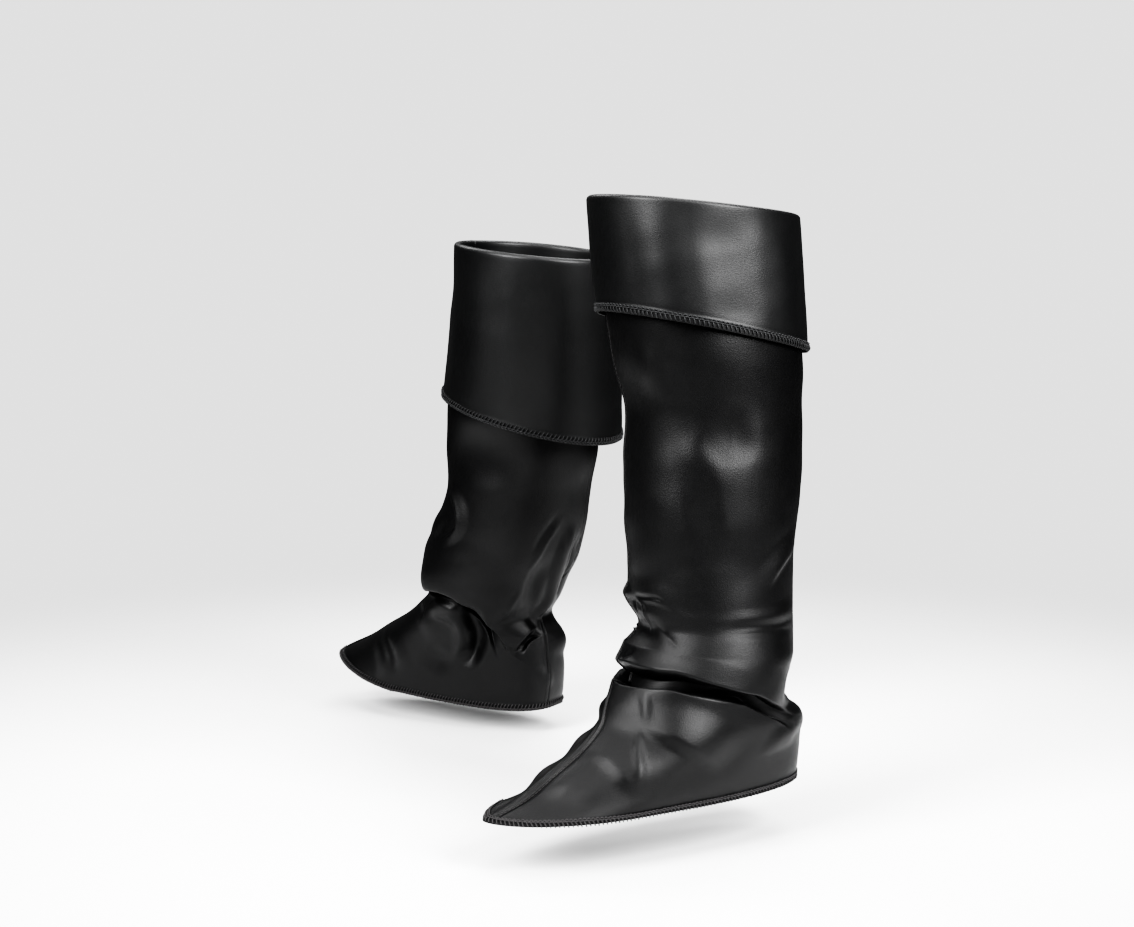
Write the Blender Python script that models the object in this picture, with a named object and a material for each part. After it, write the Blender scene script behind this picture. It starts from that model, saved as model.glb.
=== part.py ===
"""A pair of black boot covers, as worn: two loose tubes of coated cloth, each with a turned-down cuff.

Each cover is cut as an outer and an inner side panel, joined by a seam down the front and one down the
back, with a two-piece cuff whose seam lies inside the turn. The panels run from the cuff to a hem round
the foot.

Every cover is worked out in its own frame: "forward" from the back of the heel to the toe, "out" to the
wearer's outer side, and "up" from the ground that the wearer stands on. A place round the cover is a turn
in degrees of girth: 0 at the front, 180 at the back, plus on the outer side and minus on the inner one.
"""

import math
from collections import namedtuple

import bpy
import numpy as np

MM = 0.001

# Driving sizes, in metres
WALL = 0.0015
SEAM_GAP = 0.0003
ANKLE_REACH = 0.05
CUFF_TUCK = 0.012

# The stance: the left cover turns out less than the right one, and the right foot is ahead
STANCE_WIDTH = 0.242
STRIDE = 0.167
LEFT_TURN_OUT = 30.6
RIGHT_TURN_OUT = 33.7

# The part's origin is on the axis of the left cover's leg opening, this far above the ground
HELD_HEIGHT = 0.400
HELD_FORWARD = 0.064
HELD_OUT = -0.027

PANEL_ROWS = 44
PANEL_COLUMNS = 15
CUFF_COLUMNS = 12
RING_SAMPLES = 181
PATH_STEPS = 9

# One ring of cloth, in mm. front_z, back_z: its height at front and back. dip: how far it sags at the
# sides. front, back: its ends, forward of the heel. widest: where its two sides are furthest apart.
# outer, inner: half widths. nose: 1 is a round front, more is pointed. blunt: 2 is a round back, more is
# squarer. out: the sideways lean of the leg, to the outer side. front_turn, back_turn: how far its two
# seams lie round from its front and its back, in degrees.
Section = namedtuple(
    "Section",
    "front_z back_z dip front back widest outer inner nose blunt out front_turn back_turn",
)

# One fold: its path through places of a turn in degrees and a height in mm, and its sizes in mm.
# kind: ridge and trough are soft, crease is sharp, roll is a ridge that is soft to the left of its path
# and steep to its right, and lap is cloth that hangs over the cloth to the right of its path.
# width: from the path to the edge of the form. depth: out of the cloth. drop: how far a lap hangs down.
# fade: the share of the path, at each end, over which the fold dies away.
Fold = namedtuple("Fold", "kind path width depth drop fade")

# The rings of each cover from its hem up, and of each cuff from its top down, in mm and degrees
LEFT_SECTIONS = [
    Section(34, 35, 1, 238, 6, 150, 43, 37, 1.20, 3.0, 0, 3, 0),
    Section(44, 48, 1, 215, 5, 138, 45, 33, 1.40, 2.9, 0, 5, 0),
    Section(56, 60, 0, 195, 3, 124, 46, 32, 1.45, 2.7, 0, 6, 0),
    Section(70, 70, 0, 173, 2, 108, 47, 32, 1.45, 2.5, 0, 6, 0),
    Section(85, 80, 0, 154, 5, 92, 48, 34, 1.35, 2.3, 0, 3, 0),
    Section(99, 91, 0, 144, 13, 82, 48, 40, 1.15, 2.2, -1, -5, 0),
    Section(112, 104, 0, 134, 14, 74, 49, 45, 1.00, 2.1, -2, -17, 0),
    Section(121, 114, 0, 124, 12, 68, 49, 47, 1.00, 2.0, -2.5, -21.5, 0),
    Section(130, 124, 0, 116, 9, 62, 49, 49, 1.00, 2.0, -3, -26, 0),
    Section(143, 138, 0, 113, 8, 62, 49.5, 49.5, 1.00, 2.0, -4.5, -28, 0),
    Section(156, 152, 0, 117, 7, 62, 50, 50, 1.00, 2.0, -6, -30, 0),
    Section(187, 184, 0, 118, 5, 61, 50, 50, 1.00, 2.0, -9, -30, 0),
    Section(214, 212, 0, 119, 1, 60, 53, 53, 1.00, 2.0, -11, -30, 0),
    Section(247, 245, 0, 117, -4, 57, 54, 54, 1.00, 2.0, -14, -30, 0),
    Section(281, 277, 0, 114, -6, 54, 54, 54, 1.00, 2.0, -17, -30, 0),
    Section(322, 314, 0, 123, -7, 57, 58, 58, 1.00, 2.0, -20, -30, 0),
    Section(362, 350, 0, 127, -5, 60, 60, 60, 1.00, 2.0, -24, -30, 0),
    Section(421, 406, 0, 133, -3, 64, 61, 61, 1.00, 2.0, -28, -30, 0),
]

LEFT_CUFF = [
    Section(421, 406, 0, 137, -8, 64, 65, 65, 1.00, 2.0, -28, -30, 0),
    Section(387, 366, 0, 136, -10, 64, 65, 65, 1.00, 2.0, -25, -30, 0),
    Section(349, 318, 0, 133, -12, 62, 64, 64, 1.00, 2.0, -22, -30, 0),
]

RIGHT_SECTIONS = [
    Section(42, 20, 8, 211, -3, 132, 42, 39, 1.10, 3.0, 0, 0, 6),
    Section(48, 33, 6, 198, -5, 122, 43, 40, 1.10, 2.9, 0, 0, 6),
    Section(57, 50, 4, 179, -6, 112, 44, 41, 1.05, 2.7, 0, 0, 7),
    Section(68, 65, 0, 161, -6, 98, 45, 43, 1.00, 2.4, 0, 0, 9),
    Section(81, 79, 0, 138, -4, 82, 47, 45, 1.00, 2.2, -1, 0, 8),
    Section(96, 93, 0, 117, 5, 66, 49, 48, 1.00, 2.1, -2, 0, 2),
    Section(109, 107, 0, 105, -3, 52, 51, 51, 1.00, 2.0, -3, 0, -6),
    Section(122, 121, 0, 110, -10, 51, 55, 55, 1.00, 2.0, -4, 0, -12),
    Section(143, 142, 0, 106, -22, 41, 57, 57, 1.00, 2.0, -6, 0, -16),
    Section(170, 169, 0, 91, -31, 29, 56, 56, 1.00, 2.0, -9, 0, -16),
    Section(199, 199, 0, 79, -37, 20, 54, 54, 1.00, 2.0, -11, 0, -16),
    Section(231, 230, 0, 77, -45, 16, 56, 56, 1.00, 2.0, -14, 0, -16),
    Section(268, 262, 0, 73, -46, 14, 56, 56, 1.00, 2.0, -17, 0, -16),
    Section(304, 294, 0, 66, -53, 6, 56, 56, 1.00, 2.0, -20, 0, -16),
    Section(340, 328, 0, 59, -61, -2, 57, 57, 1.00, 2.0, -22, 0, -16),
    Section(387, 373, 0, 53, -68, -8, 59, 59, 1.00, 2.0, -26, 0, -16),
]

RIGHT_CUFF = [
    Section(387, 373, 0, 57, -73, -8, 64, 64, 1.00, 2.0, -26, 0, -18),
    Section(335, 308, 0, 66, -70, -3, 65, 65, 1.00, 2.0, -22, 0, -18),
    Section(273, 236, 0, 77, -67, 5, 65, 65, 1.00, 2.0, -17, 0, -18),
]

# Where the ankle fold hangs over the foot: pairs of a turn in degrees and a height in mm
LEFT_ANKLE = [
    (-180, 86), (-152, 90), (-97, 110), (-42, 120), (0, 121), (34, 122), (51, 118), (69, 114),
    (86, 110), (101, 106), (117, 98), (134, 88), (152, 82), (180, 86),
]

RIGHT_ANKLE = [
    (-180, 80), (-160, 76), (-146, 77), (-134, 87), (-113, 102), (-99, 109), (-74, 118), (-53, 117),
    (-34, 118), (0, 113), (69, 112), (107, 102), (146, 82), (180, 80),
]

LEFT_FOLDS = [
    # The ankle fold, which hangs over the foot from the front seam round to the heel, and its pair inside
    Fold(
        "lap",
        (
            (-66, 116), (-42, 121), (-29, 119), (6, 120), (23, 120), (39, 120), (54, 117), (69, 114),
            (86, 110), (101, 106), (117, 98), (134, 88), (144, 80)
        ),
        13,
        7.5,
        4,
        0.2,
    ),
    Fold("lap", ((-152, 90), (-97, 110), (-40, 116)), 12, 5.5, 4, 0.3),
    # The pinch in the front of the ankle, with the hollow under it
    Fold(
        "roll",
        (
            (-60, 161), (-36, 163), (-2, 164), (14, 164), (25, 161), (38, 156), (49, 153)
        ),
        15,
        1.3,
        0,
        0.4,
    ),
    Fold("ridge", ((-60, 161), (-36, 161), (-10, 161)), 9, 3.6, 0, 0.4),
    Fold("trough", ((-66, 141), (-36, 141), (0, 141), (24, 139)), 14, 4.6, 0, 0.35),
    # The slack above the ankle fold, with level wrinkles at its top
    Fold("ridge", ((50, 150), (76, 152), (102, 152), (150, 155)), 8, 1.2, 0, 0.45),
    Fold("trough", ((45, 144), (83, 146), (145, 143)), 8, 1.1, 0, 0.4),
    Fold("ridge", ((39, 130), (79, 131), (150, 140)), 24, 0.7, 0, 0.45),
    Fold("ridge", ((-128, 153), (-86, 149), (-46, 150)), 11, 3.5, 0, 0.4),
    Fold("trough", ((-146, 142), (-100, 143), (-58, 138)), 11, 3, 0, 0.4),
    # The dents of the calf and the shin
    Fold("trough", ((49, 278), (66, 270), (90, 274)), 21, 2.8, 0, 0.45),
    Fold("ridge", ((38, 275), (45, 258), (58, 246), (74, 244)), 13, 0.9, 0, 0.4),
    Fold("trough", ((41, 254), (50, 227), (58, 191)), 15, 1.5, 0, 0.45),
    Fold("ridge", ((17, 335), (18, 317), (16, 291)), 14, 1.3, 0, 0.45),
    Fold("roll", ((97, 169), (118, 187), (146, 198)), 16, 2.8, 0, 0.45),
    Fold("trough", ((-98, 268), (-70, 254), (-40, 252)), 20, 3.5, 0, 0.45),
    Fold("trough", ((-36, 238), (-42, 218), (-54, 194)), 16, 2.6, 0, 0.45),
    Fold("crease", ((-138, 190), (-118, 183), (-98, 172)), 13, 3, 0, 0.4),
    # The heel: a notch under the fold, and the slack that bulges out below it
    Fold("trough", ((124, 104), (170, 101), (218, 100)), 12, 5.5, 0, 0.3),
    Fold("ridge", ((118, 78), (175, 79), (232, 80)), 12, 2.5, 0, 0.3),
    # The outer side of the foot
    Fold("roll", ((22, 90), (41, 85), (63, 76), (102, 56)), 22, 3.6, 0, 0.35),
    Fold("roll", ((0, 70), (10, 72), (28, 66), (60, 48)), 15, 2.2, 0, 0.4),
    Fold("trough", ((-2, 47), (18, 45), (40, 40)), 8, 1.5, 0, 0.4),
    Fold("ridge", ((116, 69), (133, 69), (153, 71)), 10, 1.6, 0, 0.4),
    # The inner side of the foot, with its puckers beside the front seam
    Fold("ridge", ((-3, 95), (-22, 90), (-40, 84)), 8, 2.6, 0, 0.3),
    Fold("ridge", ((-3, 75), (-20, 71), (-38, 64)), 9, 2.6, 0, 0.3),
    Fold("ridge", ((-3, 58), (-20, 52), (-36, 46)), 9, 2.6, 0, 0.3),
    Fold("ridge", ((-3, 41), (-16, 37), (-28, 34)), 7, 2.2, 0, 0.3),
    Fold("trough", ((-34, 84), (-70, 77), (-112, 58)), 16, 3.6, 0, 0.45),
    Fold("ridge", ((-64, 62), (-90, 65), (-116, 66)), 15, 2.6, 0, 0.45),
]

RIGHT_FOLDS = [
    # The shaft's lower edge hangs over the foot, down to a point beside the heel; the outer side has its pair
    Fold(
        "lap",
        (
            (-146, 64), (-140, 74), (-133, 86), (-125, 96), (-112, 104), (-100, 112), (-90, 118),
            (-75, 120), (-54, 118), (-28, 118)
        ),
        13,
        7,
        4,
        0.3,
    ),
    Fold("lap", ((-167, 86), (-156, 81), (-150, 74), (-147, 65)), 8, 3, 1, 0.3),
    Fold("lap", ((-12, 114), (69, 112), (146, 82)), 14, 6, 4, 0.3),
    # The slack of the shin bulges forward of the calf's edge
    Fold("roll", ((-63, 156), (-75, 162), (-77, 172), (-69, 185), (-48, 197)), 11, 3, 0, 0.3),
    Fold("ridge", ((-62, 166), (-30, 168)), 16, 3, 0, 0.4),
    # Upright ridges behind the ankle, round the hollow beside the heel
    Fold("ridge", ((-175, 173), (-171, 142), (-177, 107), (-163, 83)), 9, 4.5, 0, 0.25),
    Fold("crease", ((173, 164), (171, 131), (162, 100)), 7, 4, 0, 0.35),
    Fold("trough", ((-157, 150), (-155, 116), (-156, 91)), 11, 3.6, 0, 0.45),
    Fold("ridge", ((-175, 35), (-171, 47), (-166, 56)), 8, 1.4, 0, 0.4),
    # The wide dent of the calf
    Fold("trough", ((-34, 229), (-100, 226), (-143, 237)), 30, 6.5, 0, 0.5),
    # The outer side, out of sight in the picture
    Fold("trough", ((40, 236), (70, 237), (100, 252)), 20, 3.4, 0, 0.45),
    Fold("trough", ((34, 222), (42, 206), (56, 182)), 16, 2.6, 0, 0.45),
    Fold("ridge", ((42, 150), (94, 150), (146, 144)), 11, 3.5, 0, 0.4),
    Fold("ridge", ((62, 136), (92, 137), (122, 138)), 9, 2.5, 0, 0.4),
    Fold("roll", ((140, 184), (122, 176), (100, 164)), 13, 3, 0, 0.4),
    # The inner side of the foot
    Fold("roll", ((-55, 105), (-82, 103), (-100, 95), (-108, 82), (-113, 66), (-112, 51)), 16, 5, 0, 0.25),
    Fold("trough", ((-91, 109), (-108, 98), (-115, 84), (-117, 67), (-113, 50)), 13, 7.5, 0, 0.25),
    Fold("trough", ((-77, 63), (-95, 54), (-108, 50)), 12, 2, 0, 0.45),
    Fold("ridge", ((-23, 67), (-48, 50), (-65, 28)), 8, 1.8, 0, 0.4),
    Fold("crease", ((-23, 73), (-49, 57), (-66, 37)), 6, 1.8, 0, 0.4),
    Fold("ridge", ((-45, 72), (-61, 55), (-76, 37)), 8, 1.6, 0, 0.4),
    # The outer side of the foot
    Fold("trough", ((30, 84), (67, 76), (104, 54)), 15, 3.6, 0, 0.45),
    Fold("ridge", ((50, 62), (75, 62), (100, 58)), 15, 3, 0, 0.45),
    Fold("ridge", ((16, 100), (24, 90), (34, 76)), 12, 2.6, 0, 0.4),
    Fold("ridge", ((124, 70), (156, 72), (188, 72)), 13, 3, 0, 0.35),
]

LEFT_CUFF_FOLDS = [
    Fold("ridge", ((34, 430), (42, 326)), 22, 1.5, 0, 0.3),
    Fold("trough", ((74, 420), (80, 322)), 28, 2, 0, 0.3),
    Fold("ridge", ((112, 410), (118, 320)), 22, 1.5, 0, 0.3),
    Fold("trough", ((-60, 420), (-66, 330)), 28, 2, 0, 0.3),
    Fold("ridge", ((-112, 410), (-104, 322)), 22, 1.5, 0, 0.3),
]

RIGHT_CUFF_FOLDS = [
    Fold("trough", ((-36, 390), (-42, 262)), 26, 2, 0, 0.3),
    Fold("ridge", ((-76, 380), (-84, 246)), 24, 1.5, 0, 0.3),
    Fold("trough", ((-124, 376), (-120, 238)), 26, 2, 0, 0.3),
    Fold("trough", ((64, 380), (70, 250)), 28, 2, 0, 0.3),
    Fold("ridge", ((116, 376), (108, 240)), 22, 1.5, 0, 0.3),
]


def smooth_between(knots, values, at):
    """A smooth curve through the values at the knots, with no overshoot between them."""
    slope = np.diff(values) / np.diff(knots)
    tangent = np.zeros(len(values))
    tangent[0], tangent[-1] = slope[0], slope[-1]
    both = slope[1:] * slope[:-1]
    total = slope[1:] + slope[:-1]
    level = np.where(both > 0, total, 1.0)
    tangent[1:-1] = np.where(both > 0, 2 * both / level, 0.0)
    i = np.clip(np.searchsorted(knots, at, side="right") - 1, 0, len(knots) - 2)
    step = knots[i + 1] - knots[i]
    t = (at - knots[i]) / step
    return (
        (2 * t**3 - 3 * t**2 + 1) * values[i]
        + (t**3 - 2 * t**2 + t) * step * tangent[i]
        + (3 * t**2 - 2 * t**3) * values[i + 1]
        + (t**3 - t**2) * step * tangent[i + 1]
    )


def half_ring(ring, side):
    """One side of a ring from its front to its back: shares of the way, and (forward, out, up) points."""
    theta = np.linspace(0.0, math.pi, RING_SAMPLES)
    across, along = np.sin(theta), np.cos(theta)
    ahead = along >= 0
    bluntness = 2 / ring.blunt
    reach = np.where(ahead, ring.front - ring.widest, ring.widest - ring.back)
    forward = ring.widest + reach * np.where(
        ahead, along, -(np.abs(along) ** bluntness)
    )
    half_width = ring.outer if side > 0 else ring.inner
    width = half_width * np.abs(across) ** np.where(ahead, ring.nose, bluntness)
    middle, half = (ring.front_z + ring.back_z) / 2, (ring.front_z - ring.back_z) / 2
    up = middle + half * along - ring.dip * across**2
    points = np.stack([forward, ring.out + side * width, up], axis=1) * MM
    run = np.concatenate([[0], np.cumsum(np.linalg.norm(np.diff(points, axis=0), axis=1))])
    return run / run[-1], points


class Form:
    """The smooth shape of a tube of cloth, through its sections, before any fold."""

    def __init__(self, sections):
        table = np.array(sections, float)
        middle_z = table[:, :2].mean(axis=1)
        ends = table[:, 3:5]
        climb = np.hypot(np.diff(middle_z), np.abs(np.diff(ends, axis=0)).mean(axis=1))
        self.knots = np.concatenate([[0], np.cumsum(climb)]) * MM
        self.table = table
        self.length = self.knots[-1]

    def ring(self, along):
        """The section at a distance along the tube, from its first row."""
        values = [
            smooth_between(self.knots, self.table[:, k], along)
            for k in range(self.table.shape[1])
        ]
        return Section(*values)

    def grid(self, rows, turns):
        """Places at each distance in rows and each turn round: points, and the turn round the form."""
        found = np.zeros((len(rows), len(turns), 4))
        away = np.abs(turns) / 180
        for i, along in enumerate(rows):
            ring = self.ring(along)
            at = turns + ring.front_turn * (1 - away) + ring.back_turn * away
            inner_share, inner = half_ring(ring, -1)
            outer_share, outer = half_ring(ring, 1)
            ring_turns = np.concatenate([-180 * inner_share[::-1], 180 * outer_share[1:]])
            points = np.concatenate([inner[::-1], outer[1:]])
            for k in range(3):
                found[i, :, k] = np.interp(at, ring_turns, points[:, k], period=360)
            found[i, :, 3] = at
        return found

    def grid_along(self, ankle, rows, turns):
        """The same places, with the rows near the ankle drawn on to the line of the ankle fold."""
        fine = np.linspace(0, self.length, 420)
        places = self.grid(fine, turns)
        knots, heights = np.array(ankle, float).T
        line = smooth_between(knots, heights, (places[:, :, 3] + 180) % 360 - 180) * MM
        at_line = np.array(
            [np.interp(0.0, places[:, j, 2] - line[:, j], fine) for j in range(len(turns))]
        )
        at_front = at_line[len(turns) // 2]
        near = np.where(rows < at_front, at_front, 2 * ANKLE_REACH)
        pull = (1 - ((rows - at_front) / near) ** 2).clip(0) ** 2
        found = np.zeros((len(rows), len(turns), 4))
        for j in range(len(turns)):
            at = rows + (at_line[j] - at_front) * pull
            for k in range(4):
                found[:, j, k] = np.interp(at, fine, places[:, j, k])
        return found


def normals_of(grid):
    """Unit normals of a closed grid, whose first and last columns are one place: outward if rows rise."""
    closed = np.concatenate([grid[:, -2:-1], grid, grid[:, 1:2]], axis=1)
    up = np.gradient(grid, axis=0)
    around = np.gradient(closed, axis=1)[:, 1:-1]
    normal = np.cross(around, up)
    return normal / np.maximum(np.linalg.norm(normal, axis=2, keepdims=True), 1e-12)


def bump(q):
    """A soft bump: 1 at q = 0, and 0 from q = 1 outward."""
    return np.clip(1 - q * q, 0, None) ** 2


def smooth_path(path):
    """Points of a smooth curve through the places of a fold's path."""
    knots = np.array(path, float)
    knots = np.concatenate([2 * knots[:1] - knots[1:2], knots, 2 * knots[-1:] - knots[-2:-1]])
    s = np.linspace(0, 1, PATH_STEPS, endpoint=False)[:, None]
    spans = []
    for before, start, end, after in zip(knots, knots[1:], knots[2:], knots[3:]):
        bend = 2 * before - 5 * start + 4 * end - after
        twist = 3 * start - before - 3 * end + after
        spans.append(start + 0.5 * ((end - before) * s + bend * s**2 + twist * s**3))
    return np.concatenate([*spans, knots[-2:-1]])


def path_distance(fold, turns, heights, per_degree):
    """Distance in mm from a fold's path, plus to its left, and the share of the way along it."""
    points = smooth_path(fold.path)
    legs = np.hypot(*np.diff(points, axis=0).T)
    run = np.concatenate([[0], np.cumsum(legs)]) / legs.sum()
    nearest = np.full(heights.shape, 1e9)
    share = np.zeros(heights.shape)
    for i, leg in enumerate(np.diff(points, axis=0)):
        across = ((turns - points[i, 0] + 180) % 360 - 180) * per_degree
        rise = heights - points[i, 1]
        ahead, climb = leg[0] * per_degree, leg[1]
        along = np.clip((across * ahead + rise * climb) / (ahead**2 + climb**2), 0, 1)
        distance = np.hypot(across - along * ahead, rise - along * climb)
        left = np.where(ahead * rise - climb * across >= 0, 1.0, -1.0)
        closer = distance < np.abs(nearest)
        nearest = np.where(closer, left * distance, nearest)
        share = np.where(closer, run[i] + along * (run[i + 1] - run[i]), share)
    return nearest, share


def fold_moves(fold, signed, share):
    """How far a fold moves each point out of the cloth, and up, in mm."""
    fade = np.clip(np.minimum(share, 1 - share) / fold.fade, 0, 1)
    fade = fade * fade * (3 - 2 * fade)
    q = signed / fold.width
    level = np.zeros_like(q)
    if fold.kind == "ridge":
        return fold.depth * bump(q) * fade, level
    if fold.kind == "trough":
        return -fold.depth * bump(q) * fade, level
    if fold.kind == "crease":
        return -fold.depth * np.clip(1 - np.abs(q), 0, None) ** 2 * fade, level
    if fold.kind == "roll":
        return fold.depth * np.where(q >= 0, bump(q), bump(q / 0.3)) * fade, level
    out = fold.depth * np.where(q >= 0, bump(q / 3.2), bump(q / 0.4))
    out -= 1.3 * fold.depth * bump((q + 0.65) / 0.5)
    reach = np.where(signed >= 0, 2.4 * fold.drop, 0.4 * fold.width)
    return out * fade, -fold.drop * bump(signed / reach) * fade


def folded(places, folds):
    """The points of a tube with its folds, which move them out of the cloth and, under a lap, down."""
    grid, turns = places[:, :, :3], places[:, :, 3]
    normal = normals_of(grid)
    per_degree = (np.linalg.norm(np.diff(grid, axis=1), axis=2).sum(axis=1) / MM / 360)[:, None]
    heights = grid[:, :, 2] / MM
    out = np.zeros(heights.shape)
    up = np.zeros(heights.shape)
    for fold in folds:
        fold_out, fold_up = fold_moves(fold, *path_distance(fold, turns, heights, per_degree))
        out += fold_out
        up += fold_up
    moved = grid + normal * (out * MM)[:, :, None]
    moved[:, :, 2] += up * MM
    return moved


def rows_along(start, end, ankle, count):
    """Distances along a tube, packed closer together near the ankle."""
    fine = np.linspace(start, end, 400)
    density = 1 + 1.6 * np.exp(-(((fine - ankle) / 0.075) ** 2))
    total = np.concatenate([[0], np.cumsum((density[1:] + density[:-1]) / 2)])
    return np.interp(np.linspace(0, total[-1], count), total, fine)


def cut_half(face, back, first, last):
    """The columns of one half of a closed wall, its two seam edges drawn back by half of the seam gap."""
    face, back = face[:, first : last + 1].copy(), back[:, first : last + 1].copy()
    for edge, beside in ((0, 1), (-1, -2)):
        along = face[:, beside] - face[:, edge]
        along /= np.linalg.norm(along, axis=1, keepdims=True)
        face[:, edge] += along * SEAM_GAP / 2
        back[:, edge] += along * SEAM_GAP / 2
    return face, back


def add_wall(name, face, back, to_part, flip):
    """A closed body between two grids of points."""
    rows, columns = face.shape[:2]
    points = np.concatenate([face.reshape(-1, 3), back.reshape(-1, 3)])
    points = to_part(points)
    under = rows * columns

    def at(i, j, layer):
        return layer * under + i * columns + j

    quads = []
    for i in range(rows - 1):
        for j in range(columns - 1):
            quads.append([at(i, j, 0), at(i, j + 1, 0), at(i + 1, j + 1, 0), at(i + 1, j, 0)])
            quads.append([at(i, j, 1), at(i + 1, j, 1), at(i + 1, j + 1, 1), at(i, j + 1, 1)])
    for j in range(columns - 1):
        quads.append([at(0, j, 1), at(0, j + 1, 1), at(0, j + 1, 0), at(0, j, 0)])
        last = rows - 1
        quads.append([at(last, j, 0), at(last, j + 1, 0), at(last, j + 1, 1), at(last, j, 1)])
    for i in range(rows - 1):
        quads.append([at(i, 0, 0), at(i + 1, 0, 0), at(i + 1, 0, 1), at(i, 0, 1)])
        last = columns - 1
        quads.append([at(i, last, 1), at(i + 1, last, 1), at(i + 1, last, 0), at(i, last, 0)])
    if flip:
        quads = [quad[::-1] for quad in quads]
    mesh = bpy.data.meshes.new(name)
    mesh.from_pydata(points.tolist(), [], quads)
    mesh.validate()
    mesh.update()
    bpy.context.scene.collection.objects.link(bpy.data.objects.new(name, mesh))


def cuff_faces(shaft, cuff, turns, folds):
    """The seen and hidden faces of a cuff: up inside the leg opening, over the turn and down the outside."""
    tuck = shaft.grid(np.linspace(shaft.length - CUFF_TUCK, shaft.length, 3), turns)[:, :, :3]
    inside = tuck - WALL * normals_of(tuck)
    outside = folded(cuff.grid(np.linspace(cuff.length, 0, 10), turns), folds)[::-1]
    across = outside[0] - inside[-1]
    middle = (outside[0] + inside[-1]) / 2
    radius = np.linalg.norm(across, axis=1, keepdims=True) / 2
    turn_rows = []
    for angle in np.radians([30, 60, 90, 120, 150]):
        rise = np.array([0, 0, 1.0]) * radius * math.sin(angle)
        turn_rows.append(middle - across / 2 * math.cos(angle) + rise)
    face = np.concatenate([inside, np.array(turn_rows), outside])
    normal = -normals_of(face)
    return face, face - WALL * normal


def stand(heel, turn_out, side):
    """The placing of one cover: from its own frame on the ground into the part's frame."""
    angle = math.radians(turn_out)
    forward = np.array([side * math.sin(angle), -math.cos(angle), 0.0])
    out = np.array([side * math.cos(angle), math.sin(angle), 0.0])
    start = np.array([heel[0], heel[1], -HELD_HEIGHT])

    def to_part(points):
        return (
            start
            + points[:, 0:1] * forward
            + points[:, 1:2] * out
            + points[:, 2:3] * np.array([0, 0, 1.0])
        )

    return to_part


def add_cover(name, sections, cuff_sections, ankle, folds, cuff_folds, to_part, flip):
    """The four pieces of one cover."""
    shaft, cuff = Form(sections), Form(cuff_sections)
    turns = np.linspace(-180, 180, 2 * PANEL_COLUMNS - 1)
    top = shaft.length - CUFF_TUCK - SEAM_GAP
    rows = rows_along(0.0, top, 0.115, PANEL_ROWS)
    face = folded(shaft.grid_along(ankle, rows, turns), folds)
    back = face - WALL * normals_of(face)
    middle = PANEL_COLUMNS - 1
    inner = cut_half(face, back, 0, middle)
    outer = cut_half(face, back, middle, 2 * middle)
    add_wall(name + "_outer_panel", *outer, to_part, flip)
    add_wall(name + "_inner_panel", *inner, to_part, flip)

    turns = np.linspace(-180, 180, 2 * CUFF_COLUMNS - 1)
    face, back = cuff_faces(shaft, cuff, turns, cuff_folds)
    middle = CUFF_COLUMNS - 1
    inner = cut_half(face, back, 0, middle)
    outer = cut_half(face, back, middle, 2 * middle)
    add_wall(name + "_outer_cuff", *outer, to_part, not flip)
    add_wall(name + "_inner_cuff", *inner, to_part, not flip)


def left_heel():
    """Where the back of the left heel is, across the ground, from the part's origin."""
    angle = math.radians(LEFT_TURN_OUT)
    return (
        -(HELD_FORWARD * math.sin(angle) + HELD_OUT * math.cos(angle)),
        HELD_FORWARD * math.cos(angle) - HELD_OUT * math.sin(angle),
    )


def main():
    for old in list(bpy.data.objects):
        bpy.data.objects.remove(old, do_unlink=True)
    left = left_heel()
    right = (left[0] - STANCE_WIDTH, left[1] - STRIDE)
    add_cover(
        "left",
        LEFT_SECTIONS,
        LEFT_CUFF,
        LEFT_ANKLE,
        LEFT_FOLDS,
        LEFT_CUFF_FOLDS,
        stand(left, LEFT_TURN_OUT, 1),
        False,
    )
    add_cover(
        "right",
        RIGHT_SECTIONS,
        RIGHT_CUFF,
        RIGHT_ANKLE,
        RIGHT_FOLDS,
        RIGHT_CUFF_FOLDS,
        stand(right, RIGHT_TURN_OUT, -1),
        True,
    )


if __name__ == "__main__":
    main()
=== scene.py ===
"""Dressed model of a pair of black boot covers, worn: panels, turned-down cuffs, seams and hems.

Each cover has a frame of its own: forward from the back of the heel to the toe, out to the wearer's
outer side, and up from the ground. A turn is a share of the girth in degrees: 0 at the front seam, 180
at the back seam, plus on the outer side and minus on the inner one.
"""

from __future__ import annotations

import logging
import math
from dataclasses import dataclass, field
from enum import Enum
from typing import NamedTuple, Sequence

import bpy
import numpy as np
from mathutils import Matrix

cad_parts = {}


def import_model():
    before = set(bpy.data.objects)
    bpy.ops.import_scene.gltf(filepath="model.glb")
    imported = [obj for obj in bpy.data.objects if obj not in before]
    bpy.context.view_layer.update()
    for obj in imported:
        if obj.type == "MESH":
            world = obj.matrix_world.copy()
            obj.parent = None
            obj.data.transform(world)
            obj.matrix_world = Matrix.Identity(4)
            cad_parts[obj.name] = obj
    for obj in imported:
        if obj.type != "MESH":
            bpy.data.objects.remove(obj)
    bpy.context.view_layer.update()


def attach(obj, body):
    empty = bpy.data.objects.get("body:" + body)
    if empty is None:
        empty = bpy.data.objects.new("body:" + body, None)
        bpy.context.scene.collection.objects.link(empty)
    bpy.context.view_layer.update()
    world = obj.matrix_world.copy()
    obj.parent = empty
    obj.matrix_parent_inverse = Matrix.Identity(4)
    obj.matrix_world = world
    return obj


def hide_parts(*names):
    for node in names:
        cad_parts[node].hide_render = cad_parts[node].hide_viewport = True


LOG = logging.getLogger("boot_covers")
Array = np.ndarray
Places = Sequence[tuple[float, float]]
MM = 0.001

# Steps along a tube where the line of the ankle fold is looked for
FINE_STEPS = 420

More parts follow.
